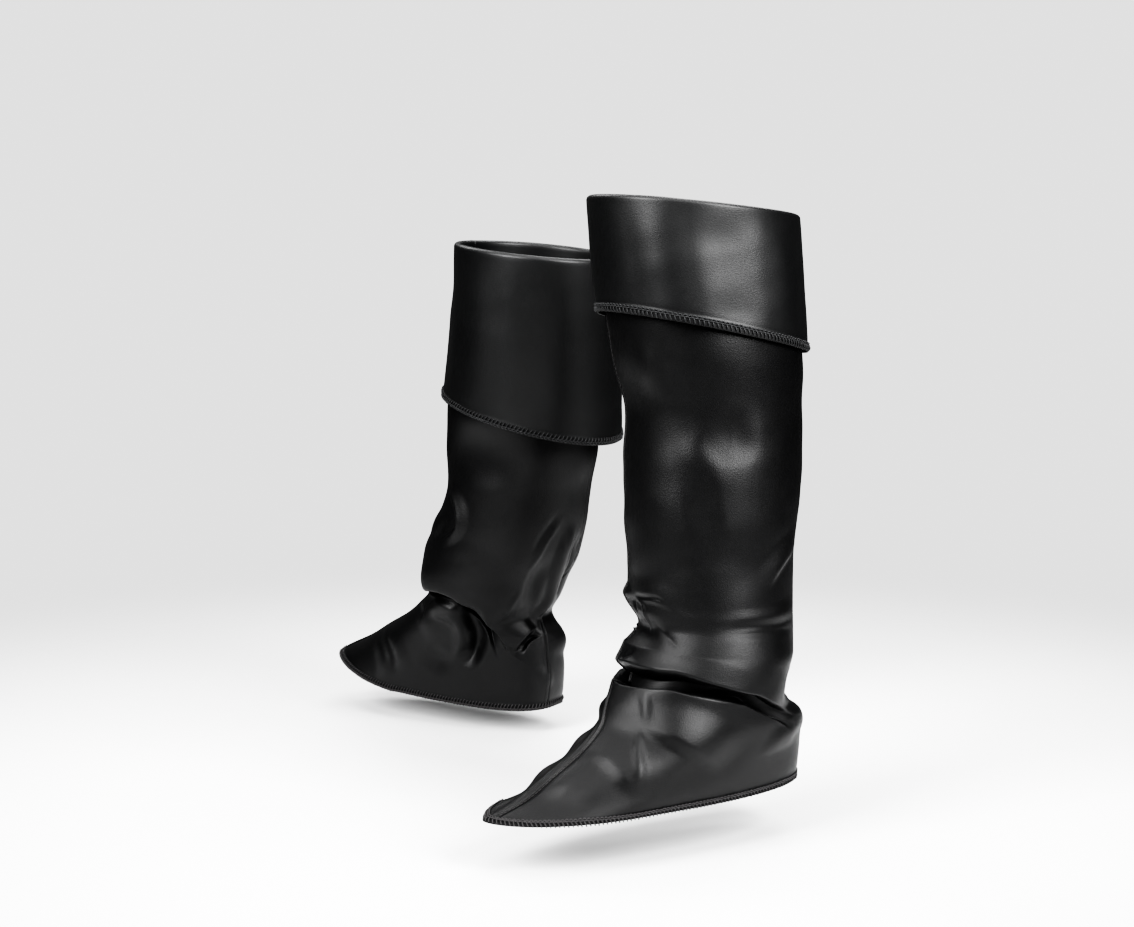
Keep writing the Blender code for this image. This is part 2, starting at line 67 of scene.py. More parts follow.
# How the folds fall off beside their paths: the power of an edge, and the rest as shares of the width
EDGE_POWER = 1.6
ROLL_UNDERSIDE = 0.3
LAP_SLACK = 3.2
LAP_LIP = 0.12
LAP_HOLLOW_TOP = 0.05
LAP_HOLLOW_TOP_BLEND = 0.12
LAP_HOLLOW_END = 0.8
LAP_HOLLOW_END_BLEND = 0.16
FOLD_REACH = 3.3

# How far above its path a lap pulls the cloth down, and how far any fold can, as shares of its drop
LAP_DROP_ABOVE = 2.4
DROP_REACH = 2.5

# The slow waves of worn cloth: how many, times round the leg, radians a metre along it, and their bend
DRAPE_WAVES = 14
DRAPE_ROUND = (2, 8)
DRAPE_RATE = (30, 150)
DRAPE_BEND = 1.3
DRAPE_BEND_RATE = 0.6

# The seeds of the waves, and their heights in metres
SHAFT_SEED = 11
SHAFT_DRAPE = 0.00035
CUFF_SEED = 31
CUFF_DRAPE = 0.0003

# The rounding of a cut edge, as a share of half the wall
EDGE_ROUNDNESS = 0.8

# Where the stitches lie: from one to the next in metres, mm from the front seam, metres from the hem
FOOT_HEM_PITCH = 0.0028
CUFF_HEM_PITCH = 0.0031
SEAM_RUN_OFFSET = -0.9
SEAM_RUN_START = 0.009

# The stitches' unevenness: their turn in radians, and their least and greatest scale
STITCH_WANDER = 0.06
STITCH_LEAST = (0.94, 0.93, 0.8)
STITCH_MOST = (1.06, 1.07, 1.2)
THREAD_SIDES = 5
THREAD_STEPS = 5


class FoldKind(Enum):
    """The ways that the cloth folds."""

    RIDGE = "ridge"
    TROUGH = "trough"
    CREASE = "crease"
    EDGE = "edge"
    ROLL = "roll"
    LAP = "lap"


class Section(NamedTuple):
    """One ring of cloth, in mm: heights and places of its two seams, half widths, and shape exponents.

    The last two columns say how far its front and back seams lie round from the form's front and
    back, in degrees.
    """

    front_z: float
    back_z: float
    dip: float
    front: float
    back: float
    widest: float
    outer: float
    inner: float
    nose: float
    blunt: float
    out: float
    front_turn: float
    back_turn: float


class Fold(NamedTuple):
    """One fold: its path as places of a turn in degrees and a height in mm, then its sizes in mm.

    A roll and a lap have their slack to the left of their path. The fade is the share of the path,
    at each end, over which the fold dies away.
    """

    kind: FoldKind
    path: Places
    width: float
    depth: float
    drop: float = 0.0
    fade: float = 0.35


RIDGE, TROUGH, CREASE, EDGE, ROLL, LAP = FoldKind


# The stance, in metres and degrees
STANCE_WIDTH = 0.242
STRIDE = 0.167
LEFT_TURN_OUT = 30.6
RIGHT_TURN_OUT = 33.7
HELD_HEIGHT = 0.400
HELD_FORWARD = 0.064
HELD_OUT = -0.027

# The rings of each cover from its hem up, and of each cuff from its top down, in mm and degrees
LEFT_SECTIONS = [
    Section(34, 35, 1, 238, 6, 150, 43, 37, 1.20, 3.0, 0, 3, 0),
    Section(44, 48, 1, 215, 5, 138, 45, 33, 1.40, 2.9, 0, 5, 0),
    Section(56, 60, 0, 195, 3, 124, 46, 32, 1.45, 2.7, 0, 6, 0),
    Section(70, 70, 0, 173, 2, 108, 47, 32, 1.45, 2.5, 0, 6, 0),
    Section(85, 80, 0, 154, 5, 92, 48, 34, 1.35, 2.3, 0, 3, 0),
    Section(99, 91, 0, 144, 13, 82, 48, 40, 1.15, 2.2, -1, -5, 0),
    Section(112, 104, 0, 134, 14, 74, 49, 45, 1.00, 2.1, -2, -17, 0),
    Section(121, 114, 0, 124, 12, 68, 49, 47, 1.00, 2.0, -2.5, -21.5, 0),
    Section(130, 124, 0, 116, 9, 62, 49, 49, 1.00, 2.0, -3, -26, 0),
    Section(143, 138, 0, 113, 8, 62, 49.5, 49.5, 1.00, 2.0, -4.5, -28, 0),
    Section(156, 152, 0, 117, 7, 62, 50, 50, 1.00, 2.0, -6, -30, 0),
    Section(187, 184, 0, 118, 5, 61, 50, 50, 1.00, 2.0, -9, -30, 0),
    Section(214, 212, 0, 119, 1, 60, 53, 53, 1.00, 2.0, -11, -30, 0),
    Section(247, 245, 0, 117, -4, 57, 54, 54, 1.00, 2.0, -14, -30, 0),
    Section(281, 277, 0, 114, -6, 54, 54, 54, 1.00, 2.0, -17, -30, 0),
    Section(322, 314, 0, 123, -7, 57, 58, 58, 1.00, 2.0, -20, -30, 0),
    Section(362, 350, 0, 127, -5, 60, 60, 60, 1.00, 2.0, -24, -30, 0),
    Section(421, 406, 0, 133, -3, 64, 61, 61, 1.00, 2.0, -28, -30, 0),
]

LEFT_CUFF = [
    Section(421, 406, 0, 137, -8, 64, 65, 65, 1.00, 2.0, -28, -30, 0),
    Section(387, 366, 0, 136, -10, 64, 65, 65, 1.00, 2.0, -25, -30, 0),
    Section(349, 318, 0, 133, -12, 62, 64, 64, 1.00, 2.0, -22, -30, 0),
]

RIGHT_SECTIONS = [
    Section(42, 20, 8, 211, -3, 132, 42, 39, 1.10, 3.0, 0, 0, 6),
    Section(48, 33, 6, 198, -5, 122, 43, 40, 1.10, 2.9, 0, 0, 6),
    Section(57, 50, 4, 179, -6, 112, 44, 41, 1.05, 2.7, 0, 0, 7),
    Section(68, 65, 0, 161, -6, 98, 45, 43, 1.00, 2.4, 0, 0, 9),
    Section(81, 79, 0, 138, -4, 82, 47, 45, 1.00, 2.2, -1, 0, 8),
    Section(96, 93, 0, 117, 5, 66, 49, 48, 1.00, 2.1, -2, 0, 2),
    Section(109, 107, 0, 105, -3, 52, 51, 51, 1.00, 2.0, -3, 0, -6),
    Section(122, 121, 0, 110, -10, 51, 55, 55, 1.00, 2.0, -4, 0, -12),
    Section(143, 142, 0, 106, -22, 41, 57, 57, 1.00, 2.0, -6, 0, -16),
    Section(170, 169, 0, 91, -31, 29, 56, 56, 1.00, 2.0, -9, 0, -16),
    Section(199, 199, 0, 79, -37, 20, 54, 54, 1.00, 2.0, -11, 0, -16),
    Section(231, 230, 0, 77, -45, 16, 56, 56, 1.00, 2.0, -14, 0, -16),
    Section(268, 262, 0, 73, -46, 14, 56, 56, 1.00, 2.0, -17, 0, -16),
    Section(304, 294, 0, 66, -53, 6, 56, 56, 1.00, 2.0, -20, 0, -16),
    Section(340, 328, 0, 59, -61, -2, 57, 57, 1.00, 2.0, -22, 0, -16),
    Section(387, 373, 0, 53, -68, -8, 59, 59, 1.00, 2.0, -26, 0, -16),
]

RIGHT_CUFF = [
    Section(387, 373, 0, 57, -73, -8, 64, 64, 1.00, 2.0, -26, 0, -18),
    Section(335, 308, 0, 66, -70, -3, 65, 65, 1.00, 2.0, -22, 0, -18),
    Section(273, 236, 0, 77, -67, 5, 65, 65, 1.00, 2.0, -17, 0, -18),
]

# Where the ankle fold hangs over the foot: pairs of a turn in degrees and a height in mm
LEFT_ANKLE = [
    (-180, 86), (-152, 90), (-97, 110), (-42, 120), (0, 121), (34, 122), (51, 118), (69, 114),
    (86, 110), (101, 106), (117, 98), (134, 88), (152, 82), (180, 86),
]

RIGHT_ANKLE = [
    (-180, 80), (-160, 76), (-146, 77), (-134, 87), (-113, 102), (-99, 109), (-74, 118), (-53, 117),
    (-34, 118), (0, 113), (69, 112), (107, 102), (146, 82), (180, 80),
]

LEFT_FOLDS = [
    # The ankle fold hangs over the foot from the front seam to the heel; the inner side has its pair
    Fold(
        LAP,
        (
            (-66, 116), (-42, 121), (-29, 119), (6, 120), (23, 120), (39, 120), (54, 117),
            (69, 114), (86, 110), (101, 106), (117, 98), (134, 88), (144, 80),
        ),
        13, 7.5, 4, 0.2,
    ),
    Fold(LAP, ((-152, 90), (-97, 110), (-40, 116)), 12, 5.5, 4, 0.3),
    # The pinch in the front of the ankle, with the hollow under it
    Fold(
        ROLL,
        (
            (-60, 161), (-36, 163), (-2, 164), (14, 164), (25, 161), (38, 156), (49, 153),
        ),
        15, 1.3, 0, 0.4,
    ),
    Fold(RIDGE, ((-60, 161), (-36, 161), (-10, 161)), 9, 3.6, 0, 0.4),
    Fold(TROUGH, ((-66, 141), (-36, 141), (0, 141), (24, 139)), 14, 4.6),
    # The slack above the ankle fold, with level wrinkles at its top
    Fold(RIDGE, ((50, 150), (76, 152), (102, 152), (150, 155)), 8, 1.2, 0, 0.45),
    Fold(TROUGH, ((45, 144), (83, 146), (145, 143)), 8, 1.1, 0, 0.4),
    Fold(RIDGE, ((39, 130), (79, 131), (150, 140)), 24, 0.7, 0, 0.45),
    Fold(RIDGE, ((-128, 153), (-86, 149), (-46, 150)), 11, 3.5, 0, 0.4),
    Fold(TROUGH, ((-146, 142), (-100, 143), (-58, 138)), 11, 3, 0, 0.4),
    # The dents of the calf and the shin
    Fold(TROUGH, ((49, 278), (66, 270), (90, 274)), 21, 2.8, 0, 0.45),
    Fold(RIDGE, ((38, 275), (45, 258), (58, 246), (74, 244)), 13, 0.9, 0, 0.4),
    Fold(TROUGH, ((41, 254), (50, 227), (58, 191)), 15, 1.5, 0, 0.45),
    Fold(RIDGE, ((17, 335), (18, 317), (16, 291)), 14, 1.3, 0, 0.45),
    Fold(ROLL, ((97, 169), (118, 187), (146, 198)), 16, 2.8, 0, 0.45),
    Fold(TROUGH, ((-98, 268), (-70, 254), (-40, 252)), 20, 3.5, 0, 0.45),
    Fold(TROUGH, ((-36, 238), (-42, 218), (-54, 194)), 16, 2.6, 0, 0.45),
    Fold(CREASE, ((-138, 190), (-118, 183), (-98, 172)), 13, 3, 0, 0.4),
    # The heel: a notch under the fold, and the slack that bulges out below it
    Fold(TROUGH, ((124, 104), (170, 101), (218, 100)), 12, 5.5, 0, 0.3),
    Fold(RIDGE, ((118, 78), (175, 79), (232, 80)), 12, 2.5, 0, 0.3),
    # The outer side of the foot
    Fold(ROLL, ((22, 90), (41, 85), (63, 76), (102, 56)), 22, 3.6),
    Fold(ROLL, ((0, 70), (10, 72), (28, 66), (60, 48)), 15, 2.2, 0, 0.4),
    Fold(TROUGH, ((-2, 47), (18, 45), (40, 40)), 8, 1.5, 0, 0.4),
    Fold(RIDGE, ((116, 69), (133, 69), (153, 71)), 10, 1.6, 0, 0.4),
    # The inner side of the foot, with its puckers beside the front seam
    Fold(RIDGE, ((-3, 95), (-22, 90), (-40, 84)), 8, 2.6, 0, 0.3),
    Fold(RIDGE, ((-3, 75), (-20, 71), (-38, 64)), 9, 2.6, 0, 0.3),
    Fold(RIDGE, ((-3, 58), (-20, 52), (-36, 46)), 9, 2.6, 0, 0.3),
    Fold(RIDGE, ((-3, 41), (-16, 37), (-28, 34)), 7, 2.2, 0, 0.3),
    Fold(TROUGH, ((-34, 84), (-70, 77), (-112, 58)), 16, 3.6, 0, 0.45),
    Fold(RIDGE, ((-64, 62), (-90, 65), (-116, 66)), 15, 2.6, 0, 0.45),
]

RIGHT_FOLDS = [
    # The shaft's lower edge hangs over the foot to beside the heel; the outer side has its pair
    Fold(
        LAP,
        (
            (-146, 64), (-140, 74), (-133, 86), (-125, 96), (-112, 104), (-100, 112), (-90, 118),
            (-75, 120), (-54, 118), (-28, 118),
        ),
        13, 7, 4, 0.3,
    ),
    Fold(LAP, ((-167, 86), (-156, 81), (-150, 74), (-147, 65)), 8, 3, 1, 0.3),
    Fold(LAP, ((-12, 114), (69, 112), (146, 82)), 14, 6, 4, 0.3),
    # The slack of the shin bulges forward of the calf's edge
    Fold(ROLL, ((-63, 156), (-75, 162), (-77, 172), (-69, 185), (-48, 197)), 11, 3, 0, 0.3),
    Fold(RIDGE, ((-62, 166), (-30, 168)), 16, 3, 0, 0.4),
    # Upright ridges behind the ankle, round the hollow beside the heel
    Fold(RIDGE, ((-175, 173), (-171, 142), (-177, 107), (-163, 83)), 9, 4.5, 0, 0.25),
    Fold(CREASE, ((173, 164), (171, 131), (162, 100)), 7, 4),
    Fold(TROUGH, ((-157, 150), (-155, 116), (-156, 91)), 11, 3.6, 0, 0.45),
    Fold(RIDGE, ((-175, 35), (-171, 47), (-166, 56)), 8, 1.4, 0, 0.4),
    # The wide dent of the calf
    Fold(TROUGH, ((-34, 229), (-100, 226), (-143, 237)), 30, 6.5, 0, 0.5),
    # The outer side, out of sight in the picture
    Fold(TROUGH, ((40, 236), (70, 237), (100, 252)), 20, 3.4, 0, 0.45),
    Fold(TROUGH, ((34, 222), (42, 206), (56, 182)), 16, 2.6, 0, 0.45),
    Fold(RIDGE, ((42, 150), (94, 150), (146, 144)), 11, 3.5, 0, 0.4),
    Fold(RIDGE, ((62, 136), (92, 137), (122, 138)), 9, 2.5, 0, 0.4),
    Fold(ROLL, ((140, 184), (122, 176), (100, 164)), 13, 3, 0, 0.4),
    # The inner side of the foot
    Fold(ROLL, ((-55, 105), (-82, 103), (-100, 95), (-108, 82), (-113, 66), (-112, 51)), 16, 5, 0, 0.25),
    Fold(TROUGH, ((-91, 109), (-108, 98), (-115, 84), (-117, 67), (-113, 50)), 13, 7.5, 0, 0.25),
    Fold(TROUGH, ((-77, 63), (-95, 54), (-108, 50)), 12, 2, 0, 0.45),
    Fold(RIDGE, ((-23, 67), (-48, 50), (-65, 28)), 8, 1.8, 0, 0.4),
    Fold(CREASE, ((-23, 73), (-49, 57), (-66, 37)), 6, 1.8, 0, 0.4),
    Fold(RIDGE, ((-45, 72), (-61, 55), (-76, 37)), 8, 1.6, 0, 0.4),
    # The outer side of the foot
    Fold(TROUGH, ((30, 84), (67, 76), (104, 54)), 15, 3.6, 0, 0.45),
    Fold(RIDGE, ((50, 62), (75, 62), (100, 58)), 15, 3, 0, 0.45),
    Fold(RIDGE, ((16, 100), (24, 90), (34, 76)), 12, 2.6, 0, 0.4),
    Fold(RIDGE, ((124, 70), (156, 72), (188, 72)), 13, 3),
]

LEFT_CUFF_FOLDS = [
    Fold(RIDGE, ((34, 430), (42, 326)), 22, 1.5, 0, 0.3),
    Fold(TROUGH, ((74, 420), (80, 322)), 28, 2, 0, 0.3),
    Fold(RIDGE, ((112, 410), (118, 320)), 22, 1.5, 0, 0.3),
    Fold(TROUGH, ((-60, 420), (-66, 330)), 28, 2, 0, 0.3),
    Fold(RIDGE, ((-112, 410), (-104, 322)), 22, 1.5, 0, 0.3),
]

RIGHT_CUFF_FOLDS = [
    Fold(TROUGH, ((-36, 390), (-42, 262)), 26, 2, 0, 0.3),
    Fold(RIDGE, ((-76, 380), (-84, 246)), 24, 1.5, 0, 0.3),
    Fold(TROUGH, ((-124, 376), (-120, 238)), 26, 2, 0, 0.3),
    Fold(TROUGH, ((64, 380), (70, 250)), 28, 2, 0, 0.3),
    Fold(RIDGE, ((116, 376), (108, 240)), 22, 1.5, 0, 0.3),
]


# Small creases, which the part's solids leave out
LEFT_FINE_FOLDS = [
    Fold(EDGE, ((23, 89), (34, 74), (56, 51)), 4.2, 1.9),
    Fold(RIDGE, ((20, 109), (27, 99), (31, 87)), 5, 0.9, 0, 0.45),
    Fold(RIDGE, ((6, 64), (23, 47)), 12, 1, 0, 0.45),
    Fold(CREASE, ((-12, 163), (4, 164), (16, 165), (25, 162)), 3, 1.7, 0, 0.3),
    Fold(EDGE, ((-8, 162), (1, 159), (3, 150), (4, 139)), 2.2, 1.5, 0, 0.3),
    Fold(CREASE, ((7, 155), (11, 148), (24, 139), (37, 130)), 6, 0.9, 0, 0.4),
    Fold(CREASE, ((-14, 161), (-11, 156), (-7, 151)), 2.5, 2, 0, 0.3),
    Fold(EDGE, ((61, 142), (79, 145), (146, 143)), 3, 0.7),
    Fold(CREASE, ((-18, 121), (-8, 123), (0, 126)), 3, 1.6, 0, 0.3),
    Fold(EDGE, ((-13, 120), (-3, 121), (7, 120)), 2.5, 1),
    Fold(RIDGE, ((121, 91), (127, 85), (141, 77)), 6, 0.7, 0, 0.4),
    Fold(TROUGH, ((35, 325), (27, 294)), 14, 1, 0, 0.45),
]

RIGHT_FINE_FOLDS = [
    Fold(EDGE, ((-51, 197), (-68, 186), (-78, 172), (-77, 162)), 3, 1.3),
    Fold(EDGE, ((-130, 92), (-135, 82), (-140, 73), (-146, 65), (-153, 60), (-161, 57)), 3, 0.6, 0, 0.3),
    Fold(EDGE, ((-165, 180), (-154, 160), (-149, 144), (-145, 131)), 4, 1.5),
    Fold(CREASE, ((-160, 183), (-149, 163), (-144, 146)), 5, 1.4, 0, 0.4),
    Fold(EDGE, ((-147, 121), (-138, 107), (-134, 93)), 5, 1, 0, 0.4),
    Fold(CREASE, ((-25, 101), (-54, 95), (-64, 82)), 4, 1.6),
    Fold(RIDGE, ((-47, 98), (-72, 83), (-90, 69)), 9, 1.2, 0, 0.4),
    Fold(EDGE, ((168, 94), (165, 87), (167, 78)), 5, 1, 0, 0.4),
    Fold(CREASE, ((151, 169), (167, 151), (159, 121)), 5, 1.2, 0, 0.4),
]


@dataclass(frozen=True)
class SeamStyle:
    """The shape of a pressed seam: a raised strip on one side of a groove, in mm."""

    strip_from: float = -5.6
    strip_to: float = -0.4
    strip_height: float = 0.8
    groove_at: float = 0.5
    groove_width: float = 1.2
    groove_depth: float = 0.8
    bead_at: float = -1.2
    bead_width: float = 1.0
    bead_height: float = 0.0
    free_blend: float = 0.9
    sewn_blend: float = 0.7

    def relief(self, across: Array) -> Array:
        """The height in mm of the seam's strip and groove, at distances across it.

        Args:
            across: Distance in mm from the seam line, plus to the outer side.

        Returns:
            Height in mm above the cloth, for each distance.
        """
        free = smooth_step((across - self.strip_from) / self.free_blend)
        strip = free * smooth_step((self.strip_to - across) / self.sewn_blend)
        groove = bump((across - self.groove_at) / self.groove_width)
        bead = bump((across - self.bead_at) / self.bead_width)
        return self.strip_height * strip + self.bead_height * bead - self.groove_depth * groove


@dataclass
class CoverPattern:
    """The tables of one cover: its shaft, its cuff, and their folds."""

    name: str
    side: int
    heel: tuple[float, float]
    turn_out: float
    sections: Sequence[Section]
    cuff: Sequence[Section]
    ankle: Places
    folds: Sequence[Fold]
    fine_folds: Sequence[Fold]
    cuff_folds: Sequence[Fold]


def bump(q: Array) -> Array:
    """A soft bump: 1 at q = 0, and 0 from q = 1 outward."""
    return np.clip(1 - q * q, 0, None) ** 2


def smooth_step(t: Array) -> Array:
    """A soft step from 0 at t = 0 to 1 at t = 1."""
    t = np.clip(t, 0, 1)
    return t * t * (3 - 2 * t)


def unit(vectors: Array) -> Array:
    """The same directions, each of length 1."""
    return vectors / np.maximum(np.linalg.norm(vectors, axis=-1, keepdims=True), 1e-12)


def smooth_between(knots: Array, values: Array, at: Array) -> Array:
    """A smooth curve through values at knots, with no overshoot between them.

    Args:
        knots: Places of the values, rising.
        values: The value at each knot.
        at: Where the curve is wanted.

    Returns:
        The curve's value at each place.
    """
    slope = np.diff(values) / np.diff(knots)
    tangent = np.zeros(len(values))
    tangent[0], tangent[-1] = slope[0], slope[-1]
    both, total = slope[1:] * slope[:-1], slope[1:] + slope[:-1]
    tangent[1:-1] = np.where(both > 0, 2 * both / np.where(both > 0, total, 1.0), 0.0)
    i = np.clip(np.searchsorted(knots, at, side="right") - 1, 0, len(knots) - 2)
    step = knots[i + 1] - knots[i]
    t = (at - knots[i]) / step
    return (
        (2 * t**3 - 3 * t**2 + 1) * values[i]
        + (t**3 - 2 * t**2 + t) * step * tangent[i]
        + (3 * t**2 - 2 * t**3) * values[i + 1]
        + (t**3 - t**2) * step * tangent[i + 1]
    )


@dataclass
class TubeForm:
    """The smooth shape of a tube of cloth through its sections, before any fold."""

    sections: Sequence[Section]
    samples: int = 181
    table: Array = field(init=False)
    knots: Array = field(init=False)

    def __post_init__(self) -> None:
        """Work out how far along the tube each section is."""
        self.table = np.array(self.sections, float)
        middle = self.table[:, :2].mean(axis=1)
        climb = np.hypot(np.diff(middle), np.abs(np.diff(self.table[:, 3:5], axis=0)).mean(axis=1))
        self.knots = np.concatenate([[0], np.cumsum(climb)]) * MM

    @property
    def length(self) -> float:
        """The distance along the tube from its first section to its last."""
        return float(self.knots[-1])

    def half_ring(self, ring: Section, side: int) -> tuple[Array, Array]:
        """One side of a ring, from the front seam to the back one.

        Args:
            ring: The section.
            side: 1 for the outer side, -1 for the inner one.

        Returns:
            The share of the way round, from 0 to 1, and the points in metres.
        """
        theta = np.linspace(0.0, math.pi, self.samples)
        across, along = np.sin(theta), np.cos(theta)
        ahead = along >= 0
        bluntness = 2 / ring.blunt
        reach = np.where(ahead, ring.front - ring.widest, ring.widest - ring.back)
        forward = ring.widest + reach * np.where(ahead, along, -(np.abs(along) ** bluntness))
        half_width = ring.outer if side > 0 else ring.inner
        width = half_width * np.abs(across) ** np.where(ahead, ring.nose, bluntness)
        middle, half = (ring.front_z + ring.back_z) / 2, (ring.front_z - ring.back_z) / 2
        up = middle + half * along - ring.dip * across**2
        points = np.stack([forward, ring.out + side * width, up], axis=1) * MM
        run = np.concatenate([[0], np.cumsum(np.linalg.norm(np.diff(points, axis=0), axis=1))])
        return run / run[-1], points

    def whole_ring(self, ring: Section) -> tuple[Array, Array]:
        """A whole ring: turns from -180 to 180 degrees, and the points in metres."""
        inner_share, inner = self.half_ring(ring, -1)
        outer_share, outer = self.half_ring(ring, 1)
        turns = np.concatenate([-180 * inner_share[::-1], 180 * outer_share[1:]])
        return turns, np.concatenate([inner[::-1], outer[1:]])

    def grid(self, rows: Array, turns: Array) -> Array:
        """Places on the tube, as an array of rows by turns by 4.

        Args:
            rows: Distances along the tube, in metres.
            turns: Places round the cloth from its front seam, in degrees.

        Returns:
            Each place's point in the cover's own frame, and its turn round the form.
        """
        found = np.zeros((len(rows), len(turns), 4))
        away = np.abs(turns) / 180
        for i, along in enumerate(rows):
            ring = Section(*(smooth_between(self.knots, column, along) for column in self.table.T))
            found[i, :, 3] = turns + ring.front_turn * (1 - away) + ring.back_turn * away
            ring_turns, points = self.whole_ring(ring)
            for k in range(3):
                found[i, :, k] = np.interp(found[i, :, 3], ring_turns, points[:, k], period=360)
        return found

    def grid_along(self, ankle: Places, rows: Array, turns: Array, reach: float) -> Array:
        """The same places, with the rows near the ankle drawn on to the line of the ankle fold.

        Args:
            ankle: Pairs of a turn in degrees and the fold's height in mm.
            rows: Distances along the tube, in metres.
            turns: Places round the cloth from its front seam, in degrees.
            reach: Half of the length above the ankle that the drawing acts on, in metres.

        Returns:
            The places, as from grid.
        """
        fine = np.linspace(0, self.length, FINE_STEPS)
        places = self.grid(fine, turns)
        knots, heights = np.array(ankle, float).T
        line = smooth_between(knots, heights, (places[:, :, 3] + 180) % 360 - 180) * MM
        above = places[:, :, 2] - line
        at_line = np.array([np.interp(0.0, above[:, j], fine) for j in range(len(turns))])
        at_front = at_line[int(np.argmin(np.abs(turns)))]
        near = np.where(rows < at_front, at_front, 2 * reach)
        pull = (1 - ((rows - at_front) / near) ** 2).clip(0) ** 2
        found = np.zeros((len(rows), len(turns), 4))
        for j in range(len(turns)):
            at = rows + (at_line[j] - at_front) * pull
            for k in range(4):
                found[:, j, k] = np.interp(at, fine, places[:, j, k])
        return found


def normals_of(grid: Array) -> Array:
    """Unit normals of a closed grid, whose end columns are one place: outward for rows that rise."""
    closed = np.concatenate([grid[:, -2:-1], grid, grid[:, 1:2]], axis=1)
    up = np.gradient(grid, axis=0)
    around = np.gradient(closed, axis=1)[:, 1:-1]
    return unit(np.cross(around, up))


def girth_along(grid: Array) -> Array:
    """Distance in metres round each row from the front seam, minus on the inner side."""
    step = np.linalg.norm(np.diff(grid, axis=1), axis=2)
    run = np.concatenate([np.zeros((len(grid), 1)), np.cumsum(step, axis=1)], axis=1)
    return run - run[:, grid.shape[1] // 2][:, None]


def smooth_path(path: Places, steps: int = 9) -> Array:
    """Points of a smooth curve through the places of a fold's path."""
    knots = np.array(path, float)
    knots = np.concatenate([2 * knots[:1] - knots[1:2], knots, 2 * knots[-1:] - knots[-2:-1]])
    s = np.linspace(0, 1, steps, endpoint=False)[:, None]
    spans = []
    for before, start, end, after in zip(knots, knots[1:], knots[2:], knots[3:]):
        bend = 2 * before - 5 * start + 4 * end - after
        twist = 3 * start - before - 3 * end + after
        spans.append(start + 0.5 * ((end - before) * s + bend * s**2 + twist * s**3))
    return np.concatenate([*spans, knots[-2:-1]])


def path_distance(fold: Fold, turns: Array, heights: Array, per_degree: Array) -> tuple[Array, Array]:
    """How points lie to a fold's path.

    Args:
        fold: The fold.
        turns: Each point's turn round the form, in degrees.
        heights: Each point's height, in mm.
        per_degree: The girth of one degree at each row, in mm.

    Returns:
        The distance in mm, plus to the left of the path and minus to its right, and the share of the
        way along it.
    """
    points = smooth_path(fold.path)
    legs = np.hypot(*np.diff(points, axis=0).T)
    run = np.concatenate([[0], np.cumsum(legs)]) / legs.sum()
    nearest = np.full(heights.shape, 1e9)
    share = np.zeros(heights.shape)
    for i, leg in enumerate(np.diff(points, axis=0)):
        across = ((turns - points[i, 0] + 180) % 360 - 180) * per_degree
        rise = heights - points[i, 1]
        ahead, climb = leg[0] * per_degree, leg[1]
        along = np.clip((across * ahead + rise * climb) / (ahead**2 + climb**2), 0, 1)
        distance = np.hypot(across - along * ahead, rise - along * climb)
        left = np.where(ahead * rise - climb * across >= 0, 1.0, -1.0)
        closer = distance < np.abs(nearest)
        nearest = np.where(closer, left * distance, nearest)
        share = np.where(closer, run[i] + along * (run[i + 1] - run[i]), share)
    return nearest, share


def fold_moves(fold: Fold, signed: Array, share: Array) -> tuple[Array, Array]:
    """How far a fold moves each point.

    Args:
        fold: The fold.
        signed: Distance in mm from the fold's path, plus to its left.
        share: The share of the way along the path.

    Returns:
        The moves in mm, out of the cloth and up.
    """
    fade = smooth_step(np.minimum(share, 1 - share) / fold.fade)
    q = signed / fold.width
    level = np.zeros_like(q)
    if fold.kind is FoldKind.RIDGE:
        return fold.depth * bump(q) * fade, level
    if fold.kind is FoldKind.TROUGH:
        return -fold.depth * bump(q) * fade, level
    if fold.kind is FoldKind.CREASE:
        return -fold.depth * np.clip(1 - np.abs(q), 0, None) ** 2 * fade, level
    if fold.kind is FoldKind.EDGE:
        return fold.depth * np.clip(1 - np.abs(q), 0, None) ** EDGE_POWER * fade, level
    if fold.kind is FoldKind.ROLL:
        return fold.depth * np.where(q >= 0, bump(q), bump(q / ROLL_UNDERSIDE)) * fade, level
    top = smooth_step((LAP_HOLLOW_TOP - q) / LAP_HOLLOW_TOP_BLEND)
    hollow = top * smooth_step((q + LAP_HOLLOW_END) / LAP_HOLLOW_END_BLEND) * (1 - q)
    out = fold.depth * (np.where(q >= 0, bump(q / LAP_SLACK), bump(q / LAP_LIP)) - hollow)
    reach = np.where(signed >= 0, LAP_DROP_ABOVE * fold.drop, LAP_LIP * fold.width)
    return out * fade, -fold.drop * bump(signed / reach) * fade


def near_fold(fold: Fold, turns: Array, heights: Array, per_degree: Array) -> Array:
    """Which points a fold can move.

    Args:
        fold: The fold.
        turns: Each point's turn round the form, in degrees.
        heights: Each point's height, in mm.
        per_degree: The girth of one degree at each point, in mm.

    Returns:
        True for the points in a box round the fold.
    """
    points = smooth_path(fold.path)
    low, high = points.min(axis=0), points.max(axis=0)
    reach = max(FOLD_REACH * fold.width, DROP_REACH * fold.drop)
    aside = np.abs((turns - (low[0] + high[0]) / 2 + 180) % 360 - 180)
    level = np.abs(heights - (low[1] + high[1]) / 2)
    beside = (aside - (high[0] - low[0]) / 2) * per_degree < reach
    return beside & (level < (high[1] - low[1]) / 2 + reach)


